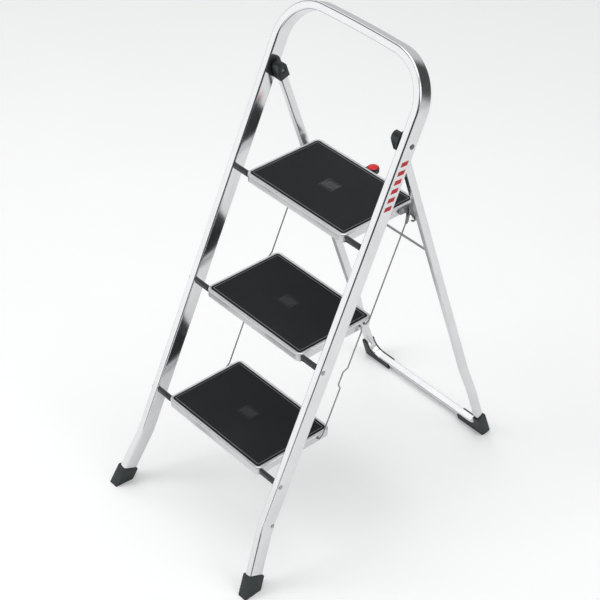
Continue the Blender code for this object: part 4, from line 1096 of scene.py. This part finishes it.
pts = []
r = 2.9 * MM
turns, per = 5, 28
for k in range(turns * per + 1):
    a = 2.0 * math.pi * k / per
    pts.append(LOCK + Vector((10.0 * MM + 1.5 * MM * k / per, r * math.cos(a), r * math.sin(a))))
pts.append(LOCK + Vector((17.5 * MM, 4.4 * MM, 5.5 * MM)))
piece(wire(pts, 0.5 * MM, 3), "return_spring", "lock", "spring", "steel", "lock_spring")

# ------------------------------------- plain slanted bars on the right rail
bars = []
s0, pitch_s = 0.857, 0.0186
for k in range(6):
    sa = s0 + pitch_s * k
    t0, t1 = 9.5 * MM, 25.5 * MM
    sl = 0.0062
    loop = [(sa, t0), (sa + 0.0098, t0), (sa + 0.0098 + sl, t1), (sa + sl, t1)]
    bars.append(slab([loop], 0.00012, flat_frame(rail(0.0, 0.0, OUT + 0.00016), U, N)))
mark = join(bars)
piece(mark, "rail_stripes", "front_frame", "print", "red_plastic")

# -------------------------------------------------------- floor and lights
bm = bmesh.new()
bmesh.ops.create_circle(bm, cap_ends=True, radius=3.2, segments=96)
me = bpy.data.meshes.new("floor")
bm.to_mesh(me)
bm.free()
floor = obj_from(me, "studio_floor")
floor.location = (0.0, 0.0, -0.0002)
fm = Nodes("floor_pale", (0.92, 0.92, 0.92), 0.0, 0.9, 0.1)
tone = fm.noise(fm.coords("Object"), 3.0, 2.0)
pale = fm.ramp(tone, [(0.3, (0.92, 0.92, 0.922)), (0.7, (0.935, 0.935, 0.935))])
# painted shade: in reflections the floor between the legs is painted darker, standing for the shadowed floor under the
# stool
oval = fm.add("ShaderNodeMapping")
oval.inputs["Scale"].default_value = (1.0 / 0.40, 1.0 / 0.22, 0.0)
oval.inputs["Location"].default_value = (0.50 / 0.40, -0.08 / 0.22, 0.0)
fm.link(fm.add("ShaderNodeTexCoord").outputs["Object"], oval.inputs["Vector"])
reach = fm.add("ShaderNodeVectorMath", operation="LENGTH")
fm.link(oval.outputs["Vector"], reach.inputs[0])
under = fm.remap(reach.outputs["Value"], 0.70, 1.15, 1.0, 0.0)
ray = fm.add("ShaderNodeLightPath")
painted_shade_amount = fm.math("MULTIPLY", under, ray.outputs["Is Glossy Ray"])
painted_shade_mixer = fm.add("ShaderNodeMix", data_type="RGBA")
fm.link(painted_shade_amount, painted_shade_mixer.inputs[0])
fm.link(pale, painted_shade_mixer.inputs[6])
# painted shade colour of the floor under the stool, seen only by glossy rays
painted_shade_mixer.inputs[7].default_value = (0.40, 0.41, 0.415, 1.0)
fm.link(painted_shade_mixer.outputs[2], fm.bsdf.inputs["Base Color"])
fm.bsdf.inputs["Emission Color"].default_value = (1.0, 1.0, 1.0, 1.0)
fm.link(fm.math("MULTIPLY", ray.outputs["Is Camera Ray"], 0.13), fm.bsdf.inputs["Emission Strength"])
floor.data.materials.append(fm.mat)

world = bpy.data.worlds.new("studio")
scene.world = world
world.use_nodes = True
wt = world.node_tree
bg = wt.nodes["Background"]


def w_add(kind, **props):
    n = wt.nodes.new(kind)
    for k, v in props.items():
        setattr(n, k, v)
    return n


ENV = 0.62                    # brightness of the studio dome as the metal sees it
tc = w_add("ShaderNodeTexCoord")


def patch(direction, inner, outer, level):
    """1 away from a direction, level inside it, soft edge between (cosines)."""
    dt = w_add("ShaderNodeVectorMath", operation="DOT_PRODUCT")
    wt.links.new(tc.outputs["Generated"], dt.inputs[0])
    dt.inputs[1].default_value = Vector(direction).normalized()
    mr = w_add("ShaderNodeMapRange")
    mr.interpolation_type = "SMOOTHSTEP"
    mr.inputs["From Min"].default_value = outer
    mr.inputs["From Max"].default_value = inner
    mr.inputs["To Min"].default_value = 1.0
    mr.inputs["To Max"].default_value = level
    wt.links.new(dt.outputs["Value"], mr.inputs["Value"])
    return mr.outputs["Result"]


def scaled(a, k):
    n = w_add("ShaderNodeMath", operation="MULTIPLY")
    wt.links.new(a, n.inputs[0])
    n.inputs[1].default_value = k
    return n.outputs[0]


def times(a, b):
    n = w_add("ShaderNodeMath", operation="MULTIPLY")
    wt.links.new(a, n.inputs[0])
    wt.links.new(b, n.inputs[1])
    return n.outputs[0]


level = patch((0.75, -0.65, -0.02), 0.88, 0.64, 0.04)
level = times(level, patch((0.33, 0.91, 0.20), 0.95, 0.84, 0.12))
level = times(level, patch((-0.60, -0.80, 0.02), 0.93, 0.72, 1.8))
level = times(level, patch((-0.60, -0.44, 0.67), 0.965, 0.90, 0.10))
level = times(level, patch((-0.60, 0.08, 0.80), 0.965, 0.86, 1.9))
level = scaled(level, ENV)
light_path = w_add("ShaderNodeLightPath")
mx = w_add("ShaderNodeMix", data_type="FLOAT")
wt.links.new(light_path.outputs["Is Camera Ray"], mx.inputs[0])
wt.links.new(level, mx.inputs[2])
mx.inputs[3].default_value = 1.05
wt.links.new(mx.outputs[0], bg.inputs["Strength"])
bg.inputs["Color"].default_value = (0.93, 0.935, 0.94, 1.0)


def area(name, loc, target, size, power, glossy=True, colour=(1, 1, 1)):
    li = bpy.data.lights.new(name, "AREA")
    li.shape = "RECTANGLE"
    li.size, li.size_y = size
    li.energy = power
    li.color = colour
    o = bpy.data.objects.new(name, li)
    scene.collection.objects.link(o)
    o.location = loc
    o.rotation_euler = (Vector(target) - Vector(loc)).to_track_quat("-Z", "Y").to_euler()
    o.visible_glossy = glossy
    return o


area("key", (-1.6, -2.2, 2.8), (0, 0, 0.5), (1.8, 1.8), 38.0, False)
area("fill", (2.6, 0.8, 2.2), (0, 0, 0.4), (1.6, 1.6), 14.0)
area("top", (0.2, 0.2, 3.4), (0, 0, 0), (2.4, 2.4), 22.0)

scene.view_settings.view_transform = "Standard"
scene.view_settings.look = "None"
